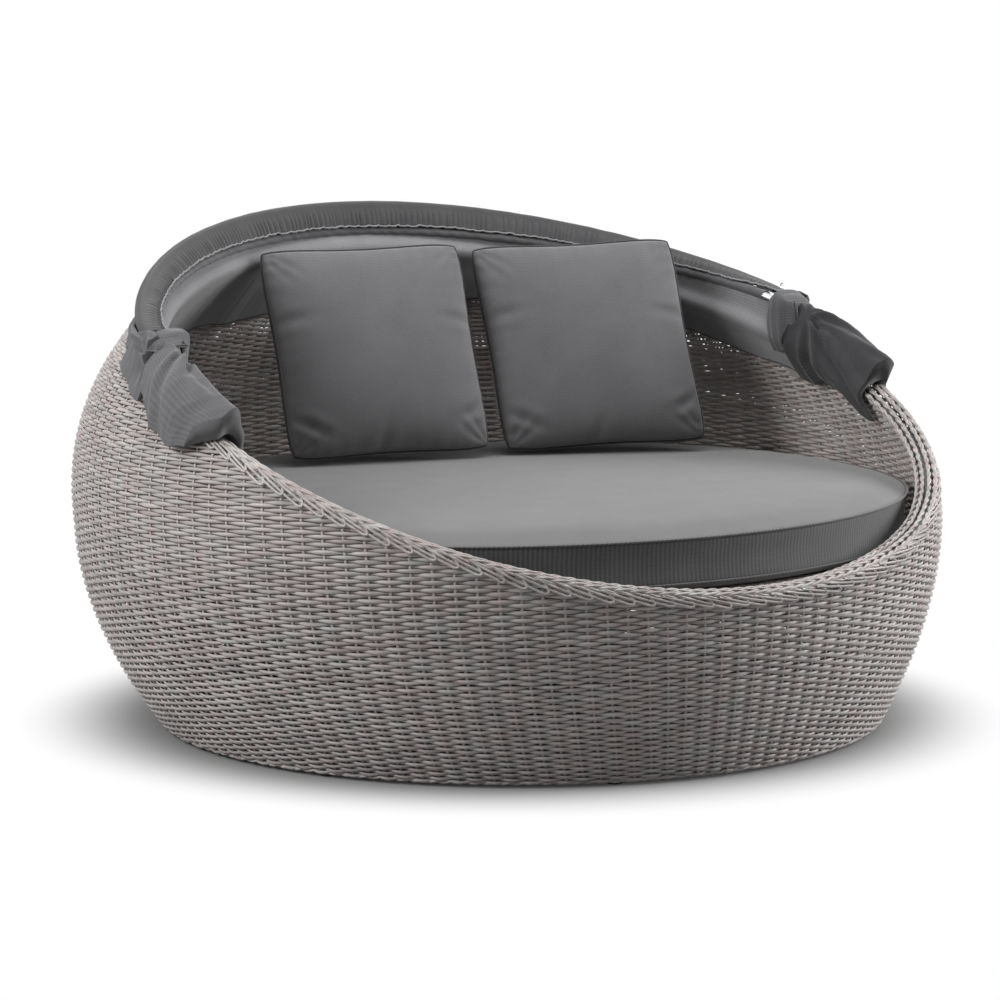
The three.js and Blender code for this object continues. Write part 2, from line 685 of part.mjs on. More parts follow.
// Bent bracket: a leg up the inside of the wall and a bored head that stands over the rim
function pivotBracket() {
  const leg = sharesBetween(-BRACKET_LEG, 0, 3).map((rise) => clothPoint(0, bracketDepth, rise));
  const line = [...leg, bracketNeck].map((p) => new THREE.Vector2(p.x, p.z));
  line.push(new THREE.Vector2(bracketX, pivotZ + BRACKET_HEAD));
  const half = BRACKET_THICKNESS / 2;
  const offset = (side) => line.map((p, i) => {
    const before = line[Math.max(i - 1, 0)];
    const after = line[Math.min(i + 1, line.length - 1)];
    const along = after.clone().sub(before).normalize();
    return p.clone().add(new THREE.Vector2(along.y, -along.x).multiplyScalar(side * half));
  });
  const outline = new THREE.Shape([...offset(1), ...offset(-1).reverse()]);
  const strap = new THREE.ExtrudeGeometry(outline, { depth: BRACKET_WIDTH, bevelEnabled: false });
  strap.rotateX(Math.PI / 2);
  strap.translate(0, pivotY + BRACKET_WIDTH / 2, 0);
  const bore = rodAcross(bracketX - BRACKET_THICKNESS, bracketX + BRACKET_THICKNESS, boreRadius);
  return fromSolid(toSolid(strap).subtract(toSolid(bore)));
}

// Bolt from the outside: domed head on the front bow, shank in through the bracket
const boltHeadX = bows.front.endX + BARREL_LENGTH / 2 + BOLT_HEAD_GAP;
const nutX = bracketX - BRACKET_THICKNESS / 2 - FIT_GAP;
const boltEndX = nutX - NUT_HEIGHT - BOLT_CLEARANCE;

function pivotBolt() {
  const dome = Math.cos(Math.PI / 4);
  const profile = [
    new THREE.Vector2(0, boltEndX),
    new THREE.Vector2(BOLT_RADIUS, boltEndX),
    new THREE.Vector2(BOLT_RADIUS, boltHeadX),
    new THREE.Vector2(BOLT_HEAD_RADIUS, boltHeadX),
    new THREE.Vector2(BOLT_HEAD_RADIUS * dome, boltHeadX + BOLT_HEAD_HEIGHT * dome),
    new THREE.Vector2(0, boltHeadX + BOLT_HEAD_HEIGHT),
  ];
  const bolt = new THREE.LatheGeometry(profile, BARREL_SIDES);
  bolt.rotateZ(-Math.PI / 2);
  return bolt.translate(0, pivotY, pivotZ);
}

function pivotNut() {
  const nut = toSolid(rodAcross(nutX - NUT_HEIGHT, nutX, NUT_RADIUS, HEX_SIDES));
  return fromSolid(nut.subtract(toSolid(rodAcross(nutX - 2 * NUT_HEIGHT, nutX + NUT_HEIGHT, boreRadius))));
}

// Axes at a station of a bow: along it and the two directions across it
function bowAxes(bow, i) {
  const { stations } = bow;
  const along = stations[i + 1].clone().sub(stations[i - 1]).normalize();
  const arm = new THREE.Vector3(0, stations[i].y - pivotY, stations[i].z - pivotZ);
  const lift = ACROSS.clone().cross(arm).normalize();
  const side = along.clone().cross(lift).normalize();
  return { centre: stations[i], along, side, lift: side.clone().cross(along).normalize() };
}

// Puckered cloth sleeve round a bow: outer face there, inner face back
function sleeve(bow) {
  const ring = (i, radius, pucker) => {
    const axes = bowAxes(bow, i);
    return Array.from({ length: SLEEVE_SIDES }, (_, j) => {
      const turn = ((j + 1 / 2) * 2 * Math.PI) / SLEEVE_SIDES;
      const reach = radius + pucker * Math.cos(Math.PI * i + turn);
      return axes.centre.clone()
        .addScaledVector(axes.side, reach * Math.cos(turn))
        .addScaledVector(axes.lift, reach * Math.sin(turn));
    });
  };
  const inner = (BOW_RADIUS + SLEEVE_LOOSE) / Math.cos(Math.PI / SLEEVE_SIDES);
  const count = BOW_STEPS - 2 * SLEEVE_SKIP_COUNT + 1;
  const places = Array.from({ length: count }, (_, i) => i + SLEEVE_SKIP_COUNT);
  const outside = places.map((i) => ring(i, inner + CLOTH, SLEEVE_PUCKER));
  const inside = places.map((i) => ring(i, inner, 0)).reverse();
  return loftLoop([...outside, ...inside]);
}

// Band of the folded canopy: cloth over the front bow that hangs on past the middle bow to its hem.
// One direction runs from the front bow to the middle one, the other stands square to it, to the inside.
function canopyBand() {
  const chord = Math.cos(radians(BAND_TURN_DEGREES[1] - BAND_TURN_DEGREES[0]) / 2);
  const radius = (BOW_RADIUS + BAND_LOOSE) / chord;
  const face = (i, extra) => {
    const { centre, side, lift } = bowAxes(bows.front, i);
    const gap = bows.middle.stations[i].clone().sub(centre);
    const down = side.clone().multiplyScalar(gap.dot(side)).addScaledVector(lift, gap.dot(lift));
    const spacing = down.length();
    down.normalize();
    const inside = side.clone().multiplyScalar(down.dot(lift)).addScaledVector(lift, -down.dot(side));
    const pucker = BAND_PUCKER * (1 - Math.cos(Math.PI * i)) / 2;
    const offset = BOW_RADIUS + BAND_CLEARANCE + extra + pucker;
    const at = (inwards, along) =>
      centre.clone().addScaledVector(inside, inwards).addScaledVector(down, along);
    const round = BAND_TURN_DEGREES.map((degrees) => {
      const turn = radians(degrees);
      return at((radius + extra) * Math.cos(turn), -(radius + extra) * Math.sin(turn));
    });
    return [at(offset, spacing + BAND_PAST_BOW), at(offset, spacing), ...round];
  };
  const places = Array.from({ length: BOW_STEPS - 1 }, (_, i) => i + 1);
  const sections = places.map((i) => [...face(i, BAND_CLOTH), ...face(i, 0).reverse()]);
  const { centre, side, lift } = bowAxes(bows.front, places[0]);
  const flat = (p) => new THREE.Vector2(p.clone().sub(centre).dot(side), p.clone().sub(centre).dot(lift));
  const last = bowAxes(bows.front, places[places.length - 1]);
  const flatLast = (p) =>
    new THREE.Vector2(p.clone().sub(last.centre).dot(last.side), p.clone().sub(last.centre).dot(last.lift));
  return loftOpen(sections, sections[0].map(flat), sections[sections.length - 1].map(flatLast));
}

// Outer back of the canopy: it lies on the plaited rim, its hem hangs outside the wall
function canopyBack() {
  const from = radians(BACK_FROM_DEGREES);
  const outside = CAVITY_DEPTH + BRAID_OVERHANG + BACK_GAP;
  const profile = [
    { outward: outside, upward: -BACK_HEM_DROP, wave: BACK_HEM_WAVE },
    { outward: outside, upward: BRAID_LIFT, wave: 0 },
    { outward: outside + BACK_TOP_LEAN, upward: BACK_TOP_RISE, wave: 0 },
  ];
  const sections = sharesBetween(from, Math.PI - from, BACK_STEPS).map((angle) => {
    const swing = Math.cos(2 * BACK_HEM_WAVE_COUNT * angle);
    const face = (extra) => profile.map(({ outward, upward, wave }) =>
      gatherPoint(angle, outward + extra, upward + wave * swing));
    return [...face(0), ...face(BACK_THICKNESS).reverse()];
  });
  const edge = (extra) => profile.map(({ outward, upward }) => new THREE.Vector2(outward + extra, upward));
  return loftOpen(sections, [...edge(0), ...edge(BACK_THICKNESS).reverse()]);
}

// Flap of cloth that hangs inside the back wall, rippled and with a wavy hem
function canopyFlap() {
  const shares = sharesBetween(FLAP_END_SHARE, 1 - FLAP_END_SHARE, FLAP_STEPS);
  const sections = shares.map((share) => {
    const angle = Math.PI * share;
    const wave = FLAP_HEM_WAVE * Math.cos(2 * Math.PI * FLAP_HEM_WAVE_COUNT * share);
    const drop = FLAP_RIGHT_DROP + (FLAP_LEFT_DROP - FLAP_RIGHT_DROP) * share + wave;
    const ripple = (FLAP_RIPPLE / 2) * (1 - Math.cos(2 * Math.PI * FLAP_RIPPLE_COUNT * share));
    const face = (extra) => sharesBetween(0, 1, FLAP_ROW_COUNT).map((rowShare) => {
      const depth = WALL_THICKNESS + FLAP_GAP + ripple * rowShare + extra;
      return clothPoint(angle, depth, -FLAP_TOP_GAP - (drop - FLAP_TOP_GAP) * rowShare);
    });
    return [...face(0), ...face(FLAP_THICKNESS).reverse()];
  });
  const outline = [...sharesBetween(0, 1, FLAP_ROW_COUNT).map((share) => new THREE.Vector2(0, -share)),
    ...sharesBetween(1, 0, FLAP_ROW_COUNT).map((share) => new THREE.Vector2(1, -share))];
  return loftOpen(sections, outline);
}

// A place near the rim, outwards and upwards from the middle of its wall
function gatherPoint(angle, outward, upward) {
  const axes = rimAxes(angle);
  if (upward >= 0) {
    return axes.middle.addScaledVector(axes.across, outward).addScaledVector(axes.up, upward);
  }
  return wallPoint(angle, rimHeight(angle) + upward, CAVITY_DEPTH - outward);
}

// Gathered end of the canopy: outside the pivot a cloth cheek, in front of it a folded saddle over the rim
function canopyGather() {
  const rim = rimAxes(0);
  const bolt = new THREE.Vector3(boltHeadX + BOLT_HEAD_HEIGHT, pivotY, pivotZ).sub(rim.middle);
  const rise = bolt.dot(rim.up);
  const sized = (shares, reach) => shares.map(([outShare, upShare]) => [outShare * reach, upShare * rise]);
  const cheekOutline = sized(CHEEK_SHARES, bolt.dot(rim.across));
  const mouthOutline = sized(MOUTH_SHARES, CAVITY_DEPTH + BRAID_OVERHANG);
  const saddleOutline = sized(SADDLE_SHARES, CAVITY_DEPTH + BRAID_OVERHANG);
  const sectionAt = (degrees, outline, crease) => outline.map(([outward, upward], i) => {
    const fold = GATHER_FOLD * GATHER_CREASE_SHARES[i] * crease;
    return gatherPoint(radians(degrees), outward + fold, upward + fold / 2);
  });
  const cheeks = GATHER_CHEEKS.map(({ degrees, outShare, upShare }) => {
    const [root] = cheekOutline[0];
    const outline = cheekOutline.map(([outward, upward]) =>
      [root + (outward - root) * outShare, upward > 0 ? upward * upShare : upward]);
    return sectionAt(degrees, outline, 0);
  });
  const mouth = sectionAt(GATHER_MOUTH_DEGREES, mouthOutline, 0);
  const saddles = sharesBetween(0, 1, GATHER_STEPS).map((share) => {
    const degrees = GATHER_FROM_DEGREES + (GATHER_TO_DEGREES - GATHER_FROM_DEGREES) * share;
    return sectionAt(degrees, saddleOutline, Math.sin(GATHER_FOLD_COUNT * 2 * Math.PI * share));
  });
  const flat = (outline) => outline.map(([outward, upward]) => new THREE.Vector2(outward, upward));
  return loftOpen([...cheeks, mouth, ...saddles], flat(cheekOutline), flat(saddleOutline));
}

// Bright zip pull on the right end of the front bow: a rod and an open loop of wire
function zipPull() {
  const { path } = bows.front;
  const reach = ZIP_PULL_FROM / path.getLength();
  const start = path.getPointAt(reach);
  const along = path.getTangentAt(reach);
  const side = along.clone().cross(UP).normalize();
  const lift = side.clone().cross(along).normalize();
  start.addScaledVector(lift, BOW_RADIUS + ZIP_PULL_WIRE_RADIUS + FIT_GAP * 2);
  const points = [start, start.clone().addScaledVector(along, ZIP_PULL_LENGTH)];
  const centre = points[1].clone().addScaledVector(lift, ZIP_PULL_LOOP_RADIUS);
  for (let i = 1; i <= ZIP_PULL_LOOP_COUNT; i += 1) {
    const turn = radians(i * ZIP_PULL_LOOP_DEGREES);
    points.push(centre.clone()
      .addScaledVector(along, ZIP_PULL_LOOP_RADIUS * Math.sin(turn))
      .addScaledVector(lift, -ZIP_PULL_LOOP_RADIUS * Math.cos(turn)));
  }
  return tube(points, ZIP_PULL_WIRE_RADIUS, ZIP_PULL_STEPS);
}

// How far back the rear bow lies at a place across the daybed
function rearBowBehind(x) {
  const { stations } = bows.rear;
  const i = stations.findIndex((place) => place.x <= x);
  const after = stations[i];
  const before = stations[i - 1];
  return before.y + ((after.y - before.y) * (x - before.x)) / (after.x - before.x);
}

// Pillows stand side by side, each leaning back, its far lower corner a gap in front of the rear bow
function setPillow(mesh, { count, bowGap, yaw, roll }) {
  const x = cushionOval().a * PILLOW_RIGHT_PLACE_SHARE - count * (PILLOW_SIDE - PILLOW_OVERLAP);
  const turn = radians(yaw);
  const corner = x - (PILLOW_SIDE / 2) * Math.cos(turn);
  const reach = -(PILLOW_SIDE / 2) * Math.sin(turn);
  const rest = deckTop + CUSHION_BAND_TOP + CUSHION_CROWN + PILLOW_REST_GAP;
  mesh.position.set(x, rearBowBehind(corner) - reach - bowGap, rest);
  mesh.rotation.set(radians(-PILLOW_LEAN_DEGREES), radians(roll), turn, 'ZXY');
}

// Frame
add('base_ring', ringTube(basePoint, BASE_TUBE_RADIUS, RING_STEPS), frameMetal);
for (let i = 0; i < GLIDE_COUNT; i += 1) {
  const foot = basePoint(((i + 1 / 2) * 2 * Math.PI) / GLIDE_COUNT);
  add(`glide_${i + 1}`, glide(), blackPlastic).position.set(foot.x, foot.y, 0);
}
for (let i = 0; i < RIB_COUNT; i += 1) {
  add(`rib_${i + 1}`, rib(((i + 1 / 2) * 2 * Math.PI) / RIB_COUNT), frameMetal);
}
add('seat_ring', ringTube((angle) => {
  const oval = ovalAt(SEAT_TUBE_HEIGHT);
  const x = (oval.a - seatTubeDepth) * Math.cos(angle);
  return new THREE.Vector3(x, oval.y + (oval.b - seatTubeDepth) * Math.sin(angle), SEAT_TUBE_HEIGHT);
}, SEAT_TUBE_RADIUS, RING_STEPS), frameMetal);
for (let i = 0; i < SLAT_COUNT; i += 1) {
  add(`seat_slat_${i + 1}`, slat((i - (SLAT_COUNT - 1) / 2) * SLAT_PITCH), frameMetal);
}
add('rim_tube', rimTube(), frameMetal);

// Weave
add('outer_weave', wovenSkin(WALL_BOTTOM, 0, OUTER_SKIN_ROW_COUNT), wicker);
const innerFaceDepth = WALL_THICKNESS - SKIN_THICKNESS;
add('inner_weave', wovenSkin(innerSkinBottom, innerFaceDepth, INNER_SKIN_ROW_COUNT), wickerShade);
add('seat_deck', deck(), wickerShade);
add('rim_braid', rimBraid(), wicker);

// Canopy hardware
const bracket = pivotBracket();
const bolt = pivotBolt();
const nut = pivotNut();
add('pivot_bracket_right', bracket, brightSteel);
add('pivot_bracket_left', mirrored(bracket), brightSteel);
add('pivot_bolt_right', bolt, brightSteel);
add('pivot_bolt_left', mirrored(bolt), brightSteel);
add('pivot_nut_right', nut, blackPlastic);
add('pivot_nut_left', mirrored(nut), blackPlastic);
add('rear_bow', bowTube(bows.rear), brightSteel);
add('middle_bow', bowTube(bows.middle), brightSteel);
add('front_bow', bowTube(bows.front), brightSteel);
add('zip_pull', zipPull(), brightSteel);

// Canopy cloth
const gather = canopyGather();
add('rear_sleeve', sleeve(bows.rear), charcoalCloth);
add('middle_sleeve', sleeve(bows.middle), charcoalCloth);
add('front_sleeve', canopyBand(), charcoalCloth);
add('canopy_back', canopyBack(), charcoalCloth);
add('canopy_flap', canopyFlap(), charcoalCloth);
add('canopy_gather_right', gather, charcoalCloth);
add('canopy_gather_left', mirrored(gather), charcoalCloth);

// Cushions
add('seat_cushion', seatCushion(), seatCloth);
for (const place of PILLOWS) {
  setPillow(add(place.name, pillow(place.slumpShare), charcoalCloth), place);
}

// The belly leans back a little, so the whole is moved to put its box over the origin
daybed.updateMatrixWorld(true);
const box = new THREE.Box3().setFromObject(daybed);
daybed.position.y = -(box.min.y + box.max.y) / 2;

export default daybed;
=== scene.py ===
# %% [markdown]
# # A woven daybed with a folding canopy
# The solids of the daybed come in as a fixed frame: tubes, brackets, bows and plain stand-ins for
# everything that is woven or soft. This lesson dresses them: the wicker is woven strand by strand,
# the cushions are blown up as cloth, and the canopy is folded over its bows.
# All places are worked out in millimetres, as in the solids, and turned to metres when a mesh is made.

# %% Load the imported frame
import math

import bpy
import numpy as np
from mathutils import Matrix, Vector


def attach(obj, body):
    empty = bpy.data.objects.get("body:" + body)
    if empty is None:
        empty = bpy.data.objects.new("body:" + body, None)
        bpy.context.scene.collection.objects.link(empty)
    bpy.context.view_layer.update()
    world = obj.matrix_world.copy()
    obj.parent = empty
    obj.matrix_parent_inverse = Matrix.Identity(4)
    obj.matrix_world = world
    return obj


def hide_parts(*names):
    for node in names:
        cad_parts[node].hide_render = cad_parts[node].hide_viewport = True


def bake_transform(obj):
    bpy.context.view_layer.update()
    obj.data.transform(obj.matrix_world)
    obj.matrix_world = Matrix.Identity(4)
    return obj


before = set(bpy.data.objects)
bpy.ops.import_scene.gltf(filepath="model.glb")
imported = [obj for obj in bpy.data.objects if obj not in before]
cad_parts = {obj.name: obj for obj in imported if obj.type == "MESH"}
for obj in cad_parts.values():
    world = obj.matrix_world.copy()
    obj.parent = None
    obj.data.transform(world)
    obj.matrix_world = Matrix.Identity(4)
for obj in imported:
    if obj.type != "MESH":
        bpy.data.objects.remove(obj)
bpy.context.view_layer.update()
MM = 0.001

# %% [markdown]
# ## The camera
# The daybed was seen from the front left, a little above the seat, through a long lens from far away.
# A long lens keeps the bowl's ovals flat. The small shift puts the object where it lies in the frame.

# %% Camera
CAMERA_AZIMUTH = math.radians(-36.906)
CAMERA_ELEVATION = math.radians(7.978)
CAMERA_DISTANCE = 7.4327
CAMERA_TARGET = Vector((0, -0.004, 0.4))
CAMERA_LENS_MM = 131.92
CAMERA_SHIFT = (-0.0139, 0.0168)

camera = bpy.data.objects.new("camera", bpy.data.cameras.new("camera"))
bpy.context.scene.collection.objects.link(camera)
sight = Vector((
    math.sin(CAMERA_AZIMUTH) * math.cos(CAMERA_ELEVATION),
    -math.cos(CAMERA_AZIMUTH) * math.cos(CAMERA_ELEVATION),
    math.sin(CAMERA_ELEVATION),
))
camera.location = CAMERA_TARGET + sight * CAMERA_DISTANCE
camera.rotation_euler = (-sight).to_track_quat("-Z", "Y").to_euler()
camera.data.sensor_width = 36
camera.data.lens = CAMERA_LENS_MM
camera.data.shift_x, camera.data.shift_y = CAMERA_SHIFT
camera.data.clip_end = 100
bpy.context.scene.camera = camera
print("camera at", [round(x, 3) for x in camera.location])

# %% [markdown]
# ## The wall as a formula
# The bowl is an oval at every height: it swells from the foot to the belly, then tucks in and leans back.
# The same formula made the solids. With it, every strand can be laid on the wall exactly.
# A place on the wall is an angle round the bowl, a height, and a depth in from the outer face.

# %% The bowl's measures, in millimetres
HALF_WIDTH = 910
HALF_DEPTH = 805
BELLY_HEIGHT = 417
BASE_WIDTH_SHARE = 0.8
BASE_DEPTH_SHARE = 0.9
SWELL_POWER = 1.92
BASE_FORWARD = 27.5
TUCK_SPAN = 550
TUCK_SHARE = 0.408
TUCK_POWER = 2.285
TOP_LEAN_SHARE = 0.195
RIM_MIDDLE_HEIGHT = 696
RIM_SLOPE_SHARE = 0.407
RIM_SAG = 34
WALL_THICKNESS = 41
CAVITY_DEPTH = WALL_THICKNESS / 2
CENTRE_SHIFT = -3.957764
RIM_SEARCH_STEPS = 40
RIM_NEIGHBOUR = math.pi / 56


# %% Places on the wall
def oval_at(z):
    """Half width, half depth and middle of the bowl at a height, and how each changes with height."""
    z = np.asarray(z, float)
    below = np.clip((BELLY_HEIGHT - z) / BELLY_HEIGHT, 0, None)
    above = np.clip((z - BELLY_HEIGHT) / TUCK_SPAN, 0, None)
    swell = below ** SWELL_POWER
    tuck = TUCK_SHARE * above ** TUCK_POWER
    swell_slope = SWELL_POWER * below ** (SWELL_POWER - 1) / BELLY_HEIGHT
    tuck_slope = TUCK_SHARE * TUCK_POWER * above ** (TUCK_POWER - 1) / TUCK_SPAN
    a = HALF_WIDTH * (1 - (1 - BASE_WIDTH_SHARE) * swell) * (1 - tuck)
    b = HALF_DEPTH * (1 - (1 - BASE_DEPTH_SHARE) * swell) * (1 - tuck)
    y = -BASE_FORWARD * below + TOP_LEAN_SHARE * np.clip(z - BELLY_HEIGHT, 0, None)
    a_slope = HALF_WIDTH * ((1 - BASE_WIDTH_SHARE) * swell_slope - tuck_slope)
    b_slope = HALF_DEPTH * ((1 - BASE_DEPTH_SHARE) * swell_slope - tuck_slope)
    y_slope = np.where(z < BELLY_HEIGHT, BASE_FORWARD / BELLY_HEIGHT, TOP_LEAN_SHARE)
    return a, b, y, a_slope, b_slope, y_slope


def unit(v):
    return v / np.linalg.norm(v, axis=-1, keepdims=True)


def wall_axes(angle, z):
    """A point on the outer face, the way outwards, and the way up along the face."""
    angle, z = np.broadcast_arrays(np.asarray(angle, float), np.asarray(z, float))
    a, b, y, a_slope, b_slope, y_slope = oval_at(z)
    c, s = np.cos(angle), np.sin(angle)
    point = np.stack([a * c, y + b * s, z], -1)
    around = np.stack([-a * s, b * c, np.zeros_like(z)], -1)
    upward = np.stack([a_slope * c, y_slope + b_slope * s, np.ones_like(z)], -1)
    outward = unit(np.cross(around, upward))
    return point, outward, unit(np.cross(outward, unit(around)))


def wall_point(angle, z, depth=0.0):
    point, outward, _ = wall_axes(angle, z)
    return point - outward * np.asarray(depth, float)[..., None]


def cut_height(y):
    return RIM_MIDDLE_HEIGHT + RIM_SLOPE_SHARE * y - RIM_SAG * (y / HALF_DEPTH) ** 2


def rim_height(angle):
    """Height on the outer face where the middle of the wall meets the tilted cut."""
    angle = np.asarray(angle, float)
    z = np.full(angle.shape, float(RIM_MIDDLE_HEIGHT))
    for _ in range(RIM_SEARCH_STEPS):
        point = wall_point(angle, z, CAVITY_DEPTH)
        z = z + (cut_height(point[..., 1]) - point[..., 2]) / 2
    return z


def rim_axes(angle):
    """Middle of the rim, outwards through the wall, and up along its face."""
    angle = np.asarray(angle, float)
    middle = wall_point(angle, rim_height(angle), CAVITY_DEPTH)
    before, after = (wall_point(near, rim_height(near), CAVITY_DEPTH)
                     for near in (angle - RIM_NEIGHBOUR, angle + RIM_NEIGHBOUR))
    across = unit(wall_point(angle, rim_height(angle)) - middle)
    up = unit(np.cross(unit(after - before), across))
    return middle, across, np.where(up[..., 2:] < 0, -up, up)


print("rim height at the front and back:", rim_height(np.array([-math.pi / 2, math.pi / 2])).round(1))

# %% [markdown]
# ## From rows of points to a mesh
# Nearly everything here is a strip or a tube: sections that follow each other. One helper joins such
# sections with four-sided faces, and a small basket collects many strands into one piece, because
# thousands of separate objects would be slow.


# %% Making meshes
def section_quads(rows, columns, loop_rows, loop_columns):
    """Faces between neighbouring sections. Rows or columns that form a loop are joined round."""
    i = np.arange(rows if loop_rows else rows - 1)
    j = np.arange(columns if loop_columns else columns - 1)
    i, j = np.meshgrid(i, j, indexing="ij")
    i2, j2 = (i + 1) % rows, (j + 1) % columns
    corners = [i * columns + j, i * columns + j2, i2 * columns + j2, i2 * columns + j]
    return np.stack(corners, -1).reshape(-1, 4)


class Basket:
    """Collects strands, each with its own points and faces, for one mesh."""

    def __init__(self):
        self.points, self.faces, self.count = [], [], 0

    def add(self, points, faces):
        self.points.append(points)
        self.faces.append(faces + self.count)
        self.count += len(points)

    def quads(self):
        return sum(len(f) for f in self.faces)


def mesh_piece(name, points, quads):
    """A new object from points in millimetres, before the shift that centres the daybed."""
    mesh = bpy.data.meshes.new(name)
    points = (np.asarray(points, float) + [0, CENTRE_SHIFT, 0]) * MM
    mesh.vertices.add(len(points))
    mesh.vertices.foreach_set("co", points.astype(np.float32).ravel())
    mesh.loops.add(quads.size)
    mesh.loops.foreach_set("vertex_index", quads.astype(np.int32).ravel())
    mesh.polygons.add(len(quads))
    mesh.polygons.foreach_set("loop_start", np.arange(0, quads.size, 4, dtype=np.int32))
    mesh.update(calc_edges=True)
    mesh.validate()
    mesh.polygons.foreach_set("use_smooth", np.full(len(mesh.polygons), True))
    piece = bpy.data.objects.new(name, mesh)
    bpy.context.scene.collection.objects.link(piece)
    return piece


def basket_piece(name, basket):
    return mesh_piece(name, np.concatenate(basket.points), np.concatenate(basket.faces))


def add_strand(basket, centre, width_way, height_way, half_width, half_height, outline, loop):
    """Sections of a strand: the outline's first number runs across the strand, its second outwards."""
    outline = np.asarray(outline, float)
    across = width_way[:, None, :] * (outline[None, :, :1] * np.reshape(half_width, (-1, 1, 1)))
    outwards = height_way[:, None, :] * (outline[None, :, 1:] * np.reshape(half_height, (-1, 1, 1)))
    points = (centre[:, None, :] + across + outwards).reshape(-1, 3)
    sides = len(outline)
    faces = section_quads(len(centre), sides, loop, True)
    if not loop:
        ends = [[base + j for j in (0, k, k + 1, k + 2)] for base in (0, len(points) - sides)
                for k in range(1, sides - 2, 2)]
        faces = np.concatenate([faces, np.array(ends)])
    basket.add(points, faces)


HALF_ROUND = [(-1, 0), (-0.62, 0.76), (0, 1), (0.62, 0.76), (1, 0), (0, -0.5)]
ROUND = [(math.cos(t), math.sin(t)) for t in np.arange(6) * math.pi / 3]


# %% Reading and measuring meshes
def read_points(data):
    """A mesh's points, in metres."""
    points = np.zeros(len(data.vertices) * 3)
    data.vertices.foreach_get("co", points)
    return points.reshape(-1, 3)


def face_corners(piece):
    """The number of the point at each corner of each face."""
    corners = np.zeros(len(piece.data.loops), np.int32)
    piece.data.loops.foreach_get("vertex_index", corners)
    return corners


def write_uv(piece, uv):
    piece.data.uv_layers.new(name="sheet").data.foreach_set("uv", uv.astype(np.float32).ravel())


def step_lengths(line):
    return np.linalg.norm(np.diff(line, axis=0), axis=1)


def line_length(line):
    return float(step_lengths(line).sum())


def runs_along(line):
    """How far along a line each of its points lies."""
    return np.concatenate([[0], np.cumsum(step_lengths(line))])

# %% [markdown]
# ## Colour
# Screen colours are written as hex. A shader wants linear light, so one function turns them.
# A second one adds a node with its settings and its links, and that is all the node code needs.


# %% Colour and node helpers
def linear(hex_colour):
    channels = [int(hex_colour[i:i + 2], 16) / 255 for i in (1, 3, 5)]
    return [c / 12.92 if c <= 0.04045 else ((c + 0.055) / 1.055) ** 2.4 for c in channels] + [1]


def add_node(material, kind, settings=(), values=(), links=()):
    """Adds a node, sets its properties and input values, and links inputs from other nodes' outputs."""
    node = material.node_tree.nodes.new(kind)
    for key, value in dict(settings).items():
        setattr(node, key, value)
    for key, value in dict(values).items():
        node.inputs[key].default_value = value
    for key, output in dict(links).items():
        material.node_tree.links.new(output, node.inputs[key])
    return node


def new_material(name):
    """An empty node material and its output node."""
    material = bpy.data.materials.new(name)
    material.use_nodes = True
    material.node_tree.nodes.clear()
    return material, add_node(material, "ShaderNodeOutputMaterial")


def noise(material, place, scale, **more):
    """A noise in the object's own space. More names its detail, roughness or distortion."""
    values = {"Scale": scale, **{key.title(): value for key, value in more.items()}}
    return add_node(material, "ShaderNodeTexNoise", values=values, links={"Vector": place.outputs["Object"]})


def ramp(material, share, dark, light, low=0.0, high=1.0):
    """A colour between two, for shares from low to high."""
    node = add_node(material, "ShaderNodeValToRGB", links={"Fac": share})
    for k, (position, colour) in enumerate(((low, dark), (high, light))):
        node.color_ramp.elements[k].position = position
        node.color_ramp.elements[k].color = linear(colour)
    return node


def between(material, first, second, share):
    """A value between two others, at a share of the way from the first to the second."""
    return add_node(material, "ShaderNodeMix", settings={"data_type": "FLOAT"}, values={"Factor": share},
                    links={"A": first, "B": second})


def bump(material, height, strength, distance, **under):
    return add_node(material, "ShaderNodeBump", values={"Strength": strength, "Distance": distance},
                    links={"Height": height, **under})


def wave(material, way, scale, vector, **more):
    """Even bands along one direction, drawn as a sine."""
    return add_node(material, "ShaderNodeTexWave",
                    settings={"wave_type": "BANDS", "bands_direction": way, "wave_profile": "SIN"},
                    values={"Scale": scale * 2 * math.pi / 20, **more}, links={"Vector": vector})


def seen_rays(material):
    """1 for rays of the camera and for those that come by way of a gloss or a glass, otherwise 0."""
    rays = add_node(material, "ShaderNodeLightPath")
    either = add_node(material, "ShaderNodeMath", settings={"operation": "MAXIMUM"},
                      links={0: rays.outputs["Is Camera Ray"], 1: rays.outputs["Is Glossy Ray"]})
    return add_node(material, "ShaderNodeMath", settings={"operation": "MAXIMUM"},
                    links={0: either.outputs[0], 1: rays.outputs["Is Transmission Ray"]})


def show(material, output, shader):
    material.node_tree.links.new(shader.outputs[0], output.inputs["Surface"])
    return material


def wear(piece, material):
    """Puts one material on every face of a piece."""
    piece.data.materials.clear()
    piece.data.materials.append(material)
    return piece


# %% [markdown]
# ## Resin strand
# The strand is extruded polyethylene, made to look like peeled cane: half round, satin, light warm grey.
# Each length of strand is a little lighter, pinker or greener than the next. A noise that is stretched
# along the rows, and that changes within one strand's height, gives each row such a tone of its own.


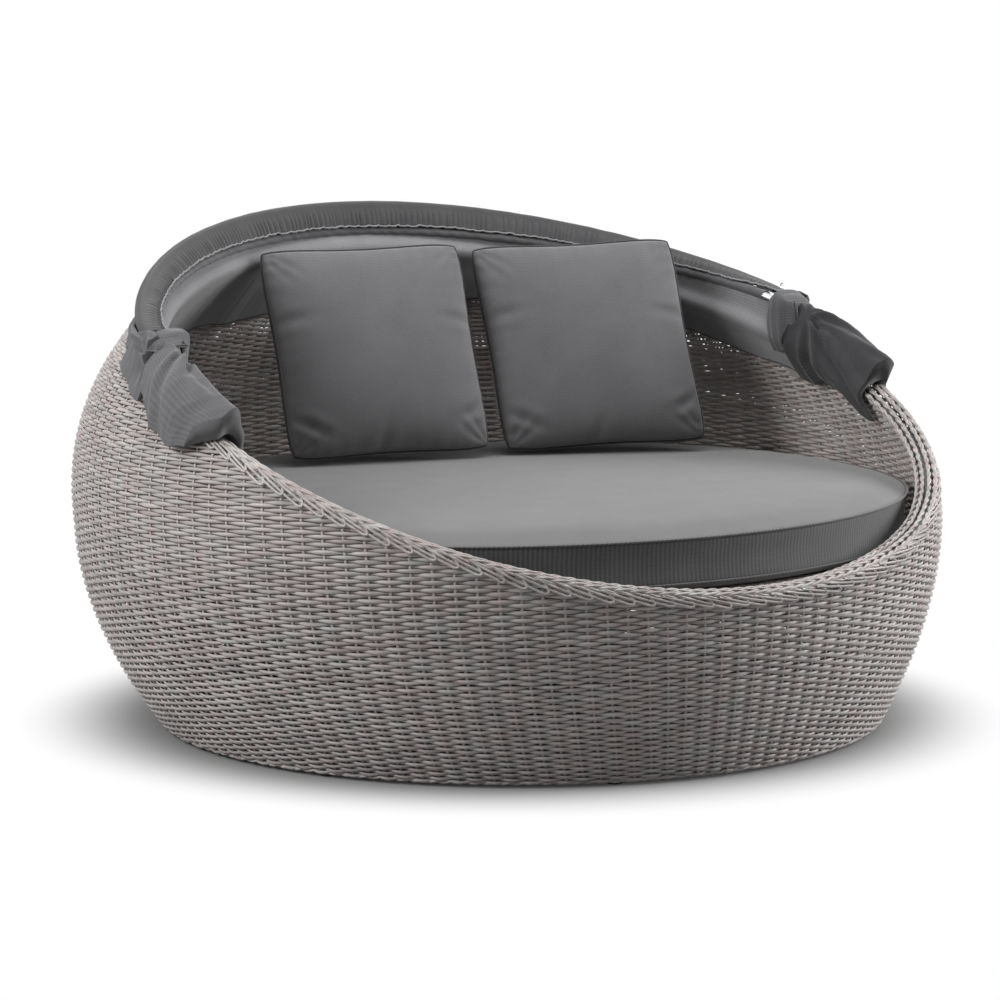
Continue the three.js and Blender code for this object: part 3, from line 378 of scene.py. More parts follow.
# %% Extruded polyethylene strand
def extruded_polyethylene(name, light, dark, rows_per_metre):
    material, output = new_material(name)
    place = add_node(material, "ShaderNodeTexCoord")
    stretched = add_node(material, "ShaderNodeMapping",
                         values={"Scale": (9, 9, rows_per_metre)}, links={"Vector": place.outputs["Object"]})
    rows = add_node(material, "ShaderNodeTexNoise", values={"Scale": 1.0, "Detail": 1.5, "Roughness": 0.6},
                    links={"Vector": stretched.outputs[0]})
    tone = ramp(material, rows.outputs["Fac"], dark, light, 0.32, 0.68)
    tints = noise(material, place, 31.0, detail=0.0)
    tint = ramp(material, tints.outputs["Fac"], "#fff8f6", "#f9fbf8", 0.35, 0.65)
    colour = add_node(material, "ShaderNodeMix", settings={"data_type": "RGBA", "blend_type": "MULTIPLY"},
                      values={"Factor": 1.0}, links={"A": tone.outputs["Color"], "B": tint.outputs["Color"]})
    skin = noise(material, place, 420.0, detail=3.0)
    relief = bump(material, skin.outputs["Fac"], 0.25, 0.0004)
    shader = add_node(material, "ShaderNodeBsdfPrincipled", values={"Roughness": 0.5, "IOR": 1.5},
                      links={"Base Color": colour.outputs["Result"], "Normal": relief.outputs[0]})
    return show(material, output, shader)


STRAND_PITCH = 7.1
rows_in_a_metre = 1000 / STRAND_PITCH
outer_strand = extruded_polyethylene("extruded_polyethylene_outside", "#ccc8c7", "#a59f9f", rows_in_a_metre)
# The inner face's strand is the same resin as the outer one, given a lighter colour: painted light on the
# inner wall.
inner_strand_painted_light = extruded_polyethylene("extruded_polyethylene_inside_painted_light", "#dad5d3", "#b4aead", rows_in_a_metre)
stake_strand = extruded_polyethylene("extruded_polyethylene_stake", "#d2cecd", "#b9b4b3", 60)

# %% [markdown]
# ## The weave
# The real wall is a plain weave: upright stakes about 39 mm apart, and a weaver that passes in front of
# one stake and behind the next, the other way round in the next row. It could be painted on with a bump,
# but the gaps beside the stakes are deep and dark, and the strands show at the edges, so it is woven.
# Each row is one strand. It swings out and in as a cosine, and it is wide where it lies in front and
# narrow where it dives behind, which gives the spindle shapes that cane has.

# %% Measures of the weave
STAKE_COUNT = 136
SAMPLES_PER_STAKE = 6
STRAND_SWING = 3.5
STRAND_THICK = 2.9
STRAND_NARROW = 2.4
STRAND_SWELL = 1.9
INNER_STRAND_NARROW = 2.5
STAKE_HALF_WIDTH = 3.2
STAKE_THICK = 1.9
WEAVE_DEPTH = 4.2
RIM_MARGIN = 3
WIDTH_SPREAD = 0.06
HEIGHT_SPREAD = 0.35
QUADS_PER_PIECE = 95000
FOOT_ROW = 9.5
INSIDE_ROW = 345
chance = np.random.default_rng(7)

fine_angles = np.linspace(0, 2 * math.pi, 4001)
girth = runs_along(np.stack([HALF_WIDTH * np.cos(fine_angles), HALF_DEPTH * np.sin(fine_angles)], -1))
print("girth of the belly: %.0f mm, stakes %.1f mm apart" % (girth[-1], girth[-1] / STAKE_COUNT))


def stake_angle(place):
    """Angle of a place counted in stakes, which stand at even distances round the belly."""
    return np.interp(np.mod(place, STAKE_COUNT) * girth[-1] / STAKE_COUNT, girth, fine_angles)


def row_heights(bottom, top):
    """Heights of the rows: even steps along the face, which leans out at the foot."""
    heights = [bottom]
    while heights[-1] < top:
        _, _, _, a_slope, _, _ = oval_at(heights[-1])
        heights.append(heights[-1] + STRAND_PITCH / math.hypot(1, float(a_slope)))
    return heights


# %% One row of the weave
row_places = np.arange(STAKE_COUNT * SAMPLES_PER_STAKE) / SAMPLES_PER_STAKE
row_angles = stake_angle(row_places)
row_rims = rim_height(row_angles)


def add_row(basket, z, parity, depth, side):
    """side is 1 where the outer face shows and -1 where the inner face shows."""
    inside = row_rims - RIM_MARGIN > z
    if inside.all():
        order, loop = np.arange(len(row_places)), True
    else:
        start = np.flatnonzero(inside & ~np.roll(inside, 1))
        if len(start) == 0:
            return
        order, loop = (start[0] + np.arange(inside.sum())) % len(row_places), False
    if len(order) < 4:
        return
    swing = np.cos(math.pi * (row_places[order] + parity))
    spread = WIDTH_SPREAD * chance.standard_normal(STAKE_COUNT)
    uneven = 1 + np.interp(row_places[order], np.arange(STAKE_COUNT), spread)
    point, outward, up = wall_axes(row_angles[order], z + HEIGHT_SPREAD * chance.standard_normal())
    centre = point - outward * (depth - side * STRAND_SWING * swing)[:, None]
    narrow = STRAND_NARROW if side > 0 else INNER_STRAND_NARROW
    half_width = (narrow + STRAND_SWELL * ((1 + swing) / 2) ** 0.6) * uneven
    add_strand(basket, centre, up * side, outward * side, half_width, np.full(len(order), STRAND_THICK),
               HALF_ROUND, loop)


def woven_wall(name, bottom, depth, side, material, node):
    """Weaves all rows of one face, as several pieces so that none grows too big."""
    pieces, basket = [], Basket()
    for k, z in enumerate(row_heights(bottom, float(row_rims.max()))):
        if basket.quads() > QUADS_PER_PIECE - len(row_places) * len(HALF_ROUND):
            pieces.append(basket_piece(f"{name}_{len(pieces) + 1}", basket))
            basket = Basket()
        add_row(basket, z, k % 2, depth, side)
    pieces.append(basket_piece(f"{name}_{len(pieces) + 1}", basket))
    for piece in pieces:
        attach(wear(piece, material), "daybed")
    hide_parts(node)
    print(name, "pieces", len(pieces), "faces", sum(len(p.data.polygons) for p in pieces))


woven_wall("outer_strands", FOOT_ROW, WEAVE_DEPTH, 1, outer_strand, "outer_weave")
# The inner face wears the lighter copy of the strand: painted light.
woven_wall("inner_strands", INSIDE_ROW, WALL_THICKNESS - WEAVE_DEPTH, -1, inner_strand_painted_light, "inner_weave")


# %% Upright stakes
STAKE_SECTION = 22
SHORTEST_STAKE = 12


def add_stakes(basket, bottom, depth, side):
    for j in range(STAKE_COUNT):
        angle = float(stake_angle(j))
        top = float(rim_height(angle)) - 1
        if top < bottom + SHORTEST_STAKE:
            continue
        heights = np.linspace(bottom, top, max(int((top - bottom) / STAKE_SECTION), 4))
        point, outward, up = wall_axes(np.full(len(heights), angle), heights)
        centre = point - outward * depth
        add_strand(basket, centre, np.cross(up, outward) * side, outward * side,
                   np.full(len(heights), STAKE_HALF_WIDTH), np.full(len(heights), STAKE_THICK),
                   HALF_ROUND, False)


stakes = Basket()
add_stakes(stakes, 4, WEAVE_DEPTH, 1)
add_stakes(stakes, 340, WALL_THICKNESS - WEAVE_DEPTH, -1)
stake_piece = wear(basket_piece("stakes", stakes), stake_strand)
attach(stake_piece, "daybed")
print("stakes: faces", len(stake_piece.data.polygons))

# %% [markdown]
# ## The plaited rim
# The rim is laid over both faces of the wall: six two-ply ropes side by side, with the last stake ends
# wrapped down over the outside as slanting strands and small loops. Each rope is two strands that turn
# round each other, so the little dark dashes between them come from the shape.

# %% Ropes of the rim
ROPE_COUNT = 6
ROPE_ARC_WIDTH = 20.5
ROPE_ARC_HEIGHT = 7.2
ROPE_LIFT = 5.5
ROPE_ARC_DEGREES = (-14, 194)
ROPE_PHASE = 0.9
ROPE_TURNS = 92
ROPE_OFFSET = 2.1
ROPE_STRAND = 3.0
ROPE_STRAND_HEIGHT = 2.58
ROPE_SAMPLES = 1104

rope_angles = stake_angle(np.arange(ROPE_SAMPLES) * STAKE_COUNT / ROPE_SAMPLES)
rope_middle, rope_across, rope_up = rim_axes(rope_angles)


def ply_swing(turns, start, first_way, second_way):
    """The way from a rope's middle to one of its strands, all along the rope."""
    turn = 2 * math.pi * turns * np.arange(ROPE_SAMPLES) / ROPE_SAMPLES + start
    return first_way * np.cos(turn)[:, None] + second_way * np.sin(turn)[:, None]


def add_rope(basket, reach, lift, turns, phase):
    """Two strands turning round each other along the rim, at a place across and above it."""
    core = rope_middle + rope_across * reach + rope_up * lift
    for ply in (0, math.pi):
        swing = ply_swing(turns, phase + ply, rope_across, rope_up)
        add_strand(basket, core + swing * ROPE_OFFSET, rope_across, rope_up,
                   np.full(ROPE_SAMPLES, ROPE_STRAND), np.full(ROPE_SAMPLES, ROPE_STRAND_HEIGHT), ROUND, True)


rim_ropes = Basket()
for k, degrees in enumerate(np.linspace(*ROPE_ARC_DEGREES, ROPE_COUNT)):
    turn = math.radians(degrees)
    add_rope(rim_ropes, ROPE_ARC_WIDTH * math.cos(turn), ROPE_LIFT + ROPE_ARC_HEIGHT * math.sin(turn),
             ROPE_TURNS * (1 if k % 2 else -1), ROPE_PHASE * k)

# %% Stake ends wrapped down over the outside
# Each place of the path: stakes along the rim, millimetres above its middle, millimetres outwards
WRAP_PATH = [(-2.3, 4, 23), (-1.8, 0, 24.2), (-1.2, -4.5, 24.4), (-0.6, -9, 24.6), (-0.1, -13, 25.4),
             (0.2, -15.5, 26), (0.36, -12.5, 26), (0.3, -7.5, 25), (0.16, -3, 23.5), (0.05, 2, 21)]
WRAP_STEPS = 24
WRAP_SPREAD = 0.12
WRAP_HALF_WIDTH = 2.5
WRAP_HALF_HEIGHT = 1.7


def add_wraps(basket):
    places, rises, reaches = np.array(WRAP_PATH).T
    steps = np.linspace(0, len(places) - 1, WRAP_STEPS)
    for j in range(STAKE_COUNT):
        uneven = 1 + WRAP_SPREAD * chance.standard_normal()
        place = j + np.interp(steps, range(len(places)), places)
        middle, across, up = rim_axes(stake_angle(place))
        reach = np.interp(steps, range(len(places)), reaches)
        rise = np.interp(steps, range(len(places)), rises) * uneven
        centre = middle + across * reach[:, None] + up * rise[:, None]
        centre[1:-1] = (centre[:-2] + centre[1:-1] * 2 + centre[2:]) / 4
        along = unit(np.gradient(centre, axis=0))
        add_strand(basket, centre, unit(np.cross(along, across)), across,
                   np.full(WRAP_STEPS, WRAP_HALF_WIDTH), np.full(WRAP_STEPS, WRAP_HALF_HEIGHT), ROUND, False)


add_wraps(rim_ropes)
rim_piece = wear(basket_piece("rim_plait", rim_ropes), outer_strand)
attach(rim_piece, "daybed")
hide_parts("rim_braid")
print("rim plait: faces", len(rim_piece.data.polygons))

# %% [markdown]
# The foot ends in a border too: one rope that turns the stakes under, just clear of the floor.

# %% Border at the foot
BORDER_HEIGHT = 9.0
BORDER_DEPTH = 3.5
BORDER_OFFSET = 2.0
BORDER_TURNS = 84
BORDER_STRAND_UP = 3.2
BORDER_STRAND_OUT = 2.8

foot_border = Basket()
foot_point, foot_out, foot_up = wall_axes(rope_angles, BORDER_HEIGHT)
for ply in (0, math.pi):
    swing = ply_swing(BORDER_TURNS, ply, foot_out, foot_up) * BORDER_OFFSET
    add_strand(foot_border, foot_point - foot_out * BORDER_DEPTH + swing, foot_up, foot_out,
               np.full(ROPE_SAMPLES, BORDER_STRAND_UP), np.full(ROPE_SAMPLES, BORDER_STRAND_OUT), ROUND, True)
foot_piece = wear(basket_piece("foot_border", foot_border), outer_strand)
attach(foot_piece, "daybed")

# %% [markdown]
# ## Outdoor cloth
# Cushions and canopy are sewn from solution-dyed outdoor cloth: a fine plain weave with a slightly
# heathered tone and a soft sheen at grazing angles. The threads are about half a millimetre, too fine
# to show from seven metres, so the weave is drawn at about two millimetres, with a heather noise on top.


# %% Woven outdoor cloth
def outdoor_cloth(name, light, dark, thread_mm, rib_share, crease_mm=0.0):
    """Plain weave from two crossed waves, along the directions of the sheet's UV map in metres."""
    material, output = new_material(name)
    sheet_place = add_node(material, "ShaderNodeUVMap")
    place = add_node(material, "ShaderNodeTexCoord")
    pairs_per_metre = 1000 / thread_mm / 2
    warp, weft = (wave(material, way, pairs_per_metre, sheet_place.outputs["UV"], Distortion=0.8, Detail=1.0)
                  for way in "XY")
    threads = between(material, weft.outputs["Fac"], warp.outputs["Fac"], rib_share)
    heather = noise(material, place, 330.0, detail=2.0, roughness=0.7)
    clouds = noise(material, place, 14.0, detail=3.0)
    grain = between(material, threads.outputs["Result"], heather.outputs["Fac"], 0.5)
    mottle = between(material, grain.outputs["Result"], clouds.outputs["Fac"], 0.3)
    tone = ramp(material, mottle.outputs["Result"], dark, light, 0.3, 0.7)
    normal = bump(material, grain.outputs["Result"], 0.35, 0.0006)
    if crease_mm:
        creases = noise(material, place, 22.0, detail=3.0, distortion=0.6)
        normal = bump(material, creases.outputs["Fac"], 0.6, crease_mm * MM, Normal=normal.outputs[0])
    shader = add_node(material, "ShaderNodeBsdfPrincipled",
                      values={"Roughness": 0.92, "IOR": 1.45, "Specular IOR Level": 0.3, "Sheen Weight": 0.25,
                              "Sheen Roughness": 0.5},
                      links={"Base Color": tone.outputs["Color"], "Normal": normal.outputs[0]})
    return show(material, output, shader)


seat_cloth = outdoor_cloth("solution_dyed_cloth_seat", "#797979", "#656565", 2.0, 0.5)
band_cloth = outdoor_cloth("solution_dyed_cloth_band", "#747475", "#5a5a5c", 4.4, 0.9)
pillow_cloth = outdoor_cloth("solution_dyed_cloth_pillow", "#777779", "#626264", 2.0, 0.5)
canopy_cloth = outdoor_cloth("solution_dyed_cloth_canopy", "#727274", "#5a5a5c", 2.0, 0.5, 1.6)
# A darker copy of the canopy cloth for the band over the front bow: painted shade.
canopy_cloth_painted_shade = outdoor_cloth("solution_dyed_cloth_canopy_painted_shade", "#565657", "#414143", 2.0, 0.5, 1.6)
# A lighter copy of the canopy cloth for the inner flap: painted light.
canopy_cloth_painted_light = outdoor_cloth("solution_dyed_cloth_canopy_painted_light", "#9c9c9e", "#7e7e80", 2.0, 0.5)
# The dark piping cloth is the real colour of the corded edges, and the right hood also wears it as painted
# shade.
piping_and_painted_shade_cloth = outdoor_cloth("solution_dyed_cloth_piping", "#464648", "#353537", 2.0, 0.2)
piping_light = outdoor_cloth("solution_dyed_cloth_piping_light", "#a3a3a4", "#848486", 2.0, 0.2)


def lay_uv(piece, rows, columns, row_length, column_length):
    """A UV map in metres for a piece made of sections: along the sections, then across them."""
    quads = face_corners(piece).reshape(-1, 4)
    i, j = quads // columns, quads % columns
    i = np.where(i.max(1, keepdims=True) - i > rows / 2, i + rows, i)
    j = np.where(j.max(1, keepdims=True) - j > columns / 2, j + columns, j)
    write_uv(piece, np.stack([i * row_length / rows, j * column_length / columns], -1))


# %% [markdown]
# ## Blowing up a cushion
# A stuffed cover takes its shape from the pressure inside it and from cloth that doesn't stretch. Blender's
# Cloth does just that: pressure on, gravity off, twenty-odd frames, and the result is kept as the mesh.


# %% Inflate
def inflate(piece, pressure, frames, cap, pinned, stiffness, bending, mass=0.3):
    """Runs Cloth with pressure on a piece and keeps the last frame. No point moves more than cap mm."""
    rest = read_points(piece.data)
    modifier = piece.modifiers.new("blow_up", "CLOTH")
    cloth = modifier.settings
    cloth.use_pressure = True
    cloth.uniform_pressure_force = pressure
    cloth.effector_weights.gravity = 0
    cloth.tension_stiffness = cloth.compression_stiffness = stiffness
    cloth.bending_stiffness = bending
    cloth.mass = mass
    cloth.air_damping = 3
    group = piece.vertex_groups.new(name="seam")
    group.add([int(i) for i in pinned], 1.0, "REPLACE")
    cloth.vertex_group_mass = "seam"
    modifier.point_cache.frame_start = 1
    modifier.point_cache.frame_end = frames
    for frame_number in range(1, frames + 1):
        bpy.context.scene.frame_set(frame_number)
    done = piece.evaluated_get(bpy.context.evaluated_depsgraph_get())
    step = read_points(done.data) - rest
    length = np.linalg.norm(step, axis=1, keepdims=True)
    step *= np.minimum(1, cap * MM / np.maximum(length, 1e-9))
    piece.modifiers.remove(modifier)
    piece.data.vertices.foreach_set("co", (rest + step).ravel())
    piece.data.update()
    bpy.context.scene.frame_set(1)
    print(piece.name, "blown up, furthest move %.1f mm" % (1000 * np.linalg.norm(step, axis=1).max()))


def smooth_out(piece):
    """One level of subdivision, applied."""
    modifier = piece.modifiers.new("smooth", "SUBSURF")
    modifier.levels = modifier.render_levels = 1
    done = piece.evaluated_get(bpy.context.evaluated_depsgraph_get())
    mesh = bpy.data.meshes.new_from_object(done)
    piece.modifiers.clear()
    old, piece.data = piece.data, mesh
    bpy.data.meshes.remove(old)
    piece.data.polygons.foreach_set("use_smooth", np.full(len(piece.data.polygons), True))
    piece.data.update()


PIPING_OUTLINE = [(math.cos(t), math.sin(t)) for t in np.arange(8) * math.pi / 4]


def piping(name, path, radius, material, body, loop=True):
    """A corded edge: a round tube of cloth along a seam, path in millimetres before the shift."""
    path = np.asarray(path, float)
    if loop:
        along = unit(np.roll(path, -1, axis=0) - np.roll(path, 1, axis=0))
    else:
        along = unit(np.gradient(path, axis=0))
    side = unit(np.cross(along, [0.03, 0.05, 1.0]))
    basket, radii = Basket(), np.full(len(path), radius)
    add_strand(basket, path, side, np.cross(side, along), radii, radii, PIPING_OUTLINE, loop)
    piece = basket_piece(name, basket)
    lay_uv(piece, len(path), len(PIPING_OUTLINE), line_length(path) * MM, 0.02)
    wear(piece, material)
    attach(piece, body)
    return piece


# %% [markdown]
# ## The seat cushion
# A boxed foam cushion: an oval top and bottom panel with a band sewn between them, and a fine corded
# edge on both seams. The foam crowns the top, and the band bows out a little between its seams.

# %% Seat cushion
DECK_TOP = 350.6
SEAT_SEAM_LOW = 17
SEAT_SEAM_HIGH = 101
SEAT_CROWN = 24
SEAT_EDGE_GAP = 24
SEAT_BAND_BOW = 4.5
SEAT_PIPING = 2.2
SEAT_TOP_SHARES = (0.992, 0.98, 0.962, 0.94, 0.91, 0.87, 0.82, 0.76, 0.69, 0.61, 0.52, 0.43, 0.34, 0.25,
                   0.16, 0.08, 0.0003)
seat_a, seat_b, seat_y, *_ = (float(v) for v in oval_at(DECK_TOP + SEAT_SEAM_HIGH))
seat_a -= WALL_THICKNESS + SEAT_EDGE_GAP
seat_b -= WALL_THICKNESS + SEAT_EDGE_GAP
SEAT_SEGMENTS = 200


def seat_profile():
    """Reach as a share of the seam's oval, inset and height, from the bottom's middle to the top's."""
    rows = [(share, 0, 0.6) for share in np.linspace(0.0003, 0.94, 12)]
    rows += [(1, 26, 0.8), (1, 12, 5), (1, 4, 11), (1, 0, SEAT_SEAM_LOW)]
    rows += [(1, SEAT_BAND_BOW * math.sin(math.pi * s), SEAT_SEAM_LOW + (SEAT_SEAM_HIGH - SEAT_SEAM_LOW) * s)
             for s in (0.12, 0.25, 0.4, 0.55, 0.7, 0.85)]
    rows += [(1, 0, SEAT_SEAM_HIGH)]
    return rows + [(s, 0, SEAT_SEAM_HIGH + SEAT_CROWN * math.sqrt(1 - s ** 4)) for s in SEAT_TOP_SHARES]


seat_angles = np.arange(SEAT_SEGMENTS) * 2 * math.pi / SEAT_SEGMENTS
seat_rows = seat_profile()
seat_points = np.array([[((seat_a - inset) * share * math.cos(t),
                          seat_y + (seat_b - inset) * share * math.sin(t), DECK_TOP + height)
                         for t in seat_angles] for share, inset, height in seat_rows])
seat_cushion = mesh_piece("seat_cushion_cover", seat_points.reshape(-1, 3),
                          section_quads(len(seat_rows), SEAT_SEGMENTS, False, True))
held_rows = [k for k, (_, _, height) in enumerate(seat_rows)
             if height in (SEAT_SEAM_LOW, SEAT_SEAM_HIGH) or height <= 0.8]
held_points = [k * SEAT_SEGMENTS + j for k in held_rows for j in range(SEAT_SEGMENTS)]
inflate(seat_cushion, 1.2, 16, 6.0, held_points, stiffness=30.0, bending=4.0)

# %% Cloth directions and seams of the seat
corners = face_corners(seat_cushion).reshape(-1, 4)
row, column = corners // SEAT_SEGMENTS, corners % SEAT_SEGMENTS
flat = seat_points.reshape(-1, 3)[corners]
past_the_join = np.where(column.max(1)[:, None] - column > SEAT_SEGMENTS / 4, SEAT_SEGMENTS, 0)
round_length = (column + past_the_join) * math.pi * (seat_a + seat_b) / SEAT_SEGMENTS
first_seam, last_seam = held_rows[-2:]
on_band = (row.min(1) >= first_seam) & (row.max(1) <= last_seam)
band_uv = np.stack([round_length, flat[..., 2]], -1)
write_uv(seat_cushion, np.where(on_band[:, None, None], band_uv, flat[..., :2]) * MM)
seat_cushion.data.materials.append(seat_cloth)
seat_cushion.data.materials.append(band_cloth)
seat_cushion.data.polygons.foreach_set("material_index", on_band.astype(np.int32))
smooth_out(seat_cushion)
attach(seat_cushion, "daybed")
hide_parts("seat_cushion")
for name, height in (("seat_edge_top", SEAT_SEAM_HIGH), ("seat_edge_bottom", SEAT_SEAM_LOW)):
    path = [((seat_a + 0.6) * math.cos(t), seat_y + (seat_b + 0.6) * math.sin(t), DECK_TOP + height)
            for t in np.arange(400) * math.pi / 200]
    piping(name, path, SEAT_PIPING, band_cloth, "daybed")

# %% [markdown]
# ## The scatter pillows
# Two square covers sewn face to face with a corded edge and stuffed tight. The seam is pinned in its
# drawn-in outline and the faces are blown up between it. The short puckers along the seam and five
# creases near the edges are laid on afterwards, since the photographed faces are otherwise smooth.

# %% One pillow as a grid
PILLOW_SIDE = 462
PILLOW_THICKNESS = 150
PILLOW_CELLS = 52
PILLOW_PINCH = 0.07
PILLOW_CORNER = 0.08
PILLOW_FILL_POWER = 0.42
PILLOW_HALF_FILL = 58
PILLOW_ABOVE_SEAM = 35
PILLOW_PIPING = 2.6
PUCKER_LENGTH = 34
# Each crease: place on the face from -1 to 1, slope, and half length as a share of half the side
PILLOW_CREASES = ((-0.86, 0.3, 0.15, 0.2), (0.88, 0.22, -0.2, 0.22), (-0.1, -0.9, 4.0, 0.14),
                  (0.84, -0.62, 0.5, 0.16), (-0.8, -0.7, -0.6, 0.18))


def pillow_grid():
    """Two square faces that share their edge: points, faces, the edge in order, places on the sheet."""
    n = PILLOW_CELLS
    share = np.sin(np.linspace(-1, 1, n + 1) * math.pi * 0.42) / math.sin(math.pi * 0.42)
    number, points, sheet = {}, [], []
    for side in (1, -1):
        for i in range(n + 1):
            for j in range(n + 1):
                edge = i in (0, n) or j in (0, n)
                if edge and side < 0:
                    number[i, j, side] = number[i, j, 1]
                    continue
                u, v = share[i], share[j]
                round_off = 1 - PILLOW_CORNER * (u * v) ** 4
                fill = 0 if edge else ((1 - u ** 2) * (1 - v ** 2)) ** PILLOW_FILL_POWER
                number[i, j, side] = len(points)
                points.append((PILLOW_SIDE / 2 * u * (1 - PILLOW_PINCH * (1 - v ** 2)) * round_off,
                               -side * (1.5 * (not edge) + PILLOW_HALF_FILL * fill),
                               PILLOW_SIDE / 2 * v * (1 - PILLOW_PINCH * (1 - u ** 2)) * round_off))
                sheet.append((u, v, -side))
    faces = []
    for side in (1, -1):
        for i in range(n):
            for j in range(n):
                quad = [number[i + di, j + dj, side] for di, dj in ((0, 0), (1, 0), (1, 1), (0, 1))]
                faces.append(quad if side > 0 else quad[::-1])
    ring = [(i, 0) for i in range(n)] + [(n, j) for j in range(n)] + [(i, n) for i in range(n, 0, -1)]
    ring += [(0, j) for j in range(n, 0, -1)]
    return np.array(points), np.array(faces), [number[i, j, 1] for i, j in ring], np.array(sheet)


pillow_points, pillow_faces, pillow_ring, pillow_sheet = pillow_grid()


def pillow_matrix(x, y, yaw, lean, roll):
    rest_height = DECK_TOP + SEAT_SEAM_HIGH + PILLOW_ABOVE_SEAM
    return (Matrix.Translation((x, y, rest_height)) @ Matrix.Rotation(math.radians(yaw), 4, "Z")
            @ Matrix.Rotation(-math.radians(lean), 4, "X") @ Matrix.Rotation(math.radians(roll), 4, "Y"))


# %% Puckers and creases of a pillow
def pillow_folds(dice):
    """How far each point of the faces is pulled in, in millimetres."""
    u, v, _ = pillow_sheet.T
    pulled = np.zeros(len(u))
    for along, off in ((v, 1 - np.abs(u)), (u, 1 - np.abs(v))):
        wobble = np.interp(along, np.linspace(-1, 1, 9), dice.uniform(0, 5, 9))
        ripple = np.cos(along * PILLOW_SIDE / 2 * 2 * math.pi / PUCKER_LENGTH + wobble)
        strength = np.interp(along, np.linspace(-1, 1, 7), dice.uniform(0.2, 1, 7))
        pulled += 2.2 * np.exp(-off * PILLOW_SIDE / 2 / 26) * ripple * strength
    for at_u, at_v, slope, length in PILLOW_CREASES:
        turn = math.atan(slope)
        du, dv = u - at_u, v - at_v
        run = du * math.cos(turn) + dv * math.sin(turn)
        beside = dv * math.cos(turn) - du * math.sin(turn)
        pulled += 5.0 * np.exp(-(run / length) ** 2 - (beside / 0.035) ** 2)
        pulled -= 2.4 * np.exp(-(run / length) ** 2 - ((np.abs(beside) - 0.085) / 0.04) ** 2)
    return pulled


# %% Stuffed pillows
def stuffed_pillow(name, node, slump, seed, **place):
    """Blows up one pillow, brings it to size, leans it in its place and sews on the corded edge."""
    dice = np.random.default_rng(seed)
    piece = mesh_piece(name, pillow_points - [0, CENTRE_SHIFT, 0], pillow_faces)
    inflate(piece, 3.0, 18, 26, pinned=pillow_ring, stiffness=16.0, bending=3.0, mass=0.25)
    made = read_points(piece.data) / MM
    made[:, 1] *= PILLOW_THICKNESS / (made[:, 1].max() - made[:, 1].min())
    inside = np.abs(pillow_sheet[:, :2]).max(1) < 0.999
    folds = pillow_sheet[:, 2] * pillow_folds(dice) * np.minimum(1, np.abs(made[:, 1]) / 12)
    made[:, 1] -= np.where(inside, folds, 0)
    made[:, 2] += PILLOW_SIDE / 2
    made[:, 0] += slump * made[:, 2]
    matrix = np.array(pillow_matrix(**place))
    made = made @ matrix[:3, :3].T + matrix[:3, 3]
    piece.data.vertices.foreach_set("co", ((made + [0, CENTRE_SHIFT, 0]) * MM).ravel())
    write_uv(piece, pillow_sheet[face_corners(piece), :2] * PILLOW_SIDE / 2 * MM)
    smooth_out(wear(piece, pillow_cloth))
    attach(piece, "daybed")
    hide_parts(node)
    edge = made[pillow_ring]
    edge = (np.roll(edge, 1, axis=0) + edge * 2 + np.roll(edge, -1, axis=0)) / 4
    piping(name + "_edge", edge, PILLOW_PIPING, piping_and_painted_shade_cloth, "daybed")


stuffed_pillow("pillow_left_cover", "pillow_left", -0.065, 3, x=-58, y=344, yaw=-16, lean=14, roll=-1)
stuffed_pillow("pillow_right_cover", "pillow_right", -0.1, 5, x=402, y=200, yaw=-25, lean=14, roll=-2)

# %% [markdown]
# ## The bows as a formula
# Three bows lie nested along the back rim. Each is the rim's oval, lifted and drawn in, and turned back
# about the pivot by a small step. Cloth is laid on them by the same formula. At each place of a bow, one
# direction runs along it, one to its side, and one up, away from the pivot's axis.

# %% Bows
PIVOT_Y, PIVOT_Z = 61.67493, 792.902124
BOW_SPACING = 19.4
BACK_SPACING = 12
BOW_LIFT = 79
BOW_END_DROP = 7
REAR_BOW_END = 765.385
SIDE_RIM_X = 788.79221
BOW_STEP = math.radians(2.3504272)
SLEEVE_RADIUS = 8.6
SLEEVE_CLOTH = 1.1
SLEEVE_WIDTH = 62
FRONT, MIDDLE, REAR = 0, 1, 2


def bow_points(order, shares):
    """Points of a bow from the right pivot, share 0, to the left one, share 1."""
    angle = math.pi * np.asarray(shares, float)
    z = rim_height(angle)
    a, b, *_ = oval_at(z)
    rim = wall_point(angle, z, CAVITY_DEPTH)
    inward = unit(np.stack([-np.cos(angle) * b, -np.sin(angle) * a, np.zeros_like(z)], -1))
    back = rim[:, 1] - PIVOT_Y
    flare = 0.52 * back * np.exp(-back / 90)
    end_inset = (SIDE_RIM_X - REAR_BOW_END - 2 * BOW_SPACING) * np.exp(-back / 140)
    nest = order * (BACK_SPACING + (BOW_SPACING - BACK_SPACING) * np.abs(np.cos(angle)))
    point = rim + inward * (end_inset - flare + nest)[:, None]
    point[:, 2] = cut_height(point[:, 1]) + BOW_LIFT - BOW_END_DROP * np.cos(angle) ** 2
    turn = -order * BOW_STEP
    y, z = point[:, 1] - PIVOT_Y, point[:, 2] - PIVOT_Z
    return np.stack([point[:, 0], PIVOT_Y + y * math.cos(turn) - z * math.sin(turn),
                     PIVOT_Z + y * math.sin(turn) + z * math.cos(turn)], -1)


def bow_axes(points):
    along = unit(np.gradient(points, axis=0))
    arm = points - [0, PIVOT_Y, PIVOT_Z]
    arm[:, 0] = 0
    lift = unit(np.cross([1.0, 0, 0], arm))
    side = unit(np.cross(along, lift))
    return along, side, unit(np.cross(side, along))


def dot(a, b):
    return (a * b).sum(-1, keepdims=True)


def smooth_step(x, low, high):
    t = np.clip((np.asarray(x, float) - low) / (high - low), 0, 1)
    return t * t * (3 - 2 * t)


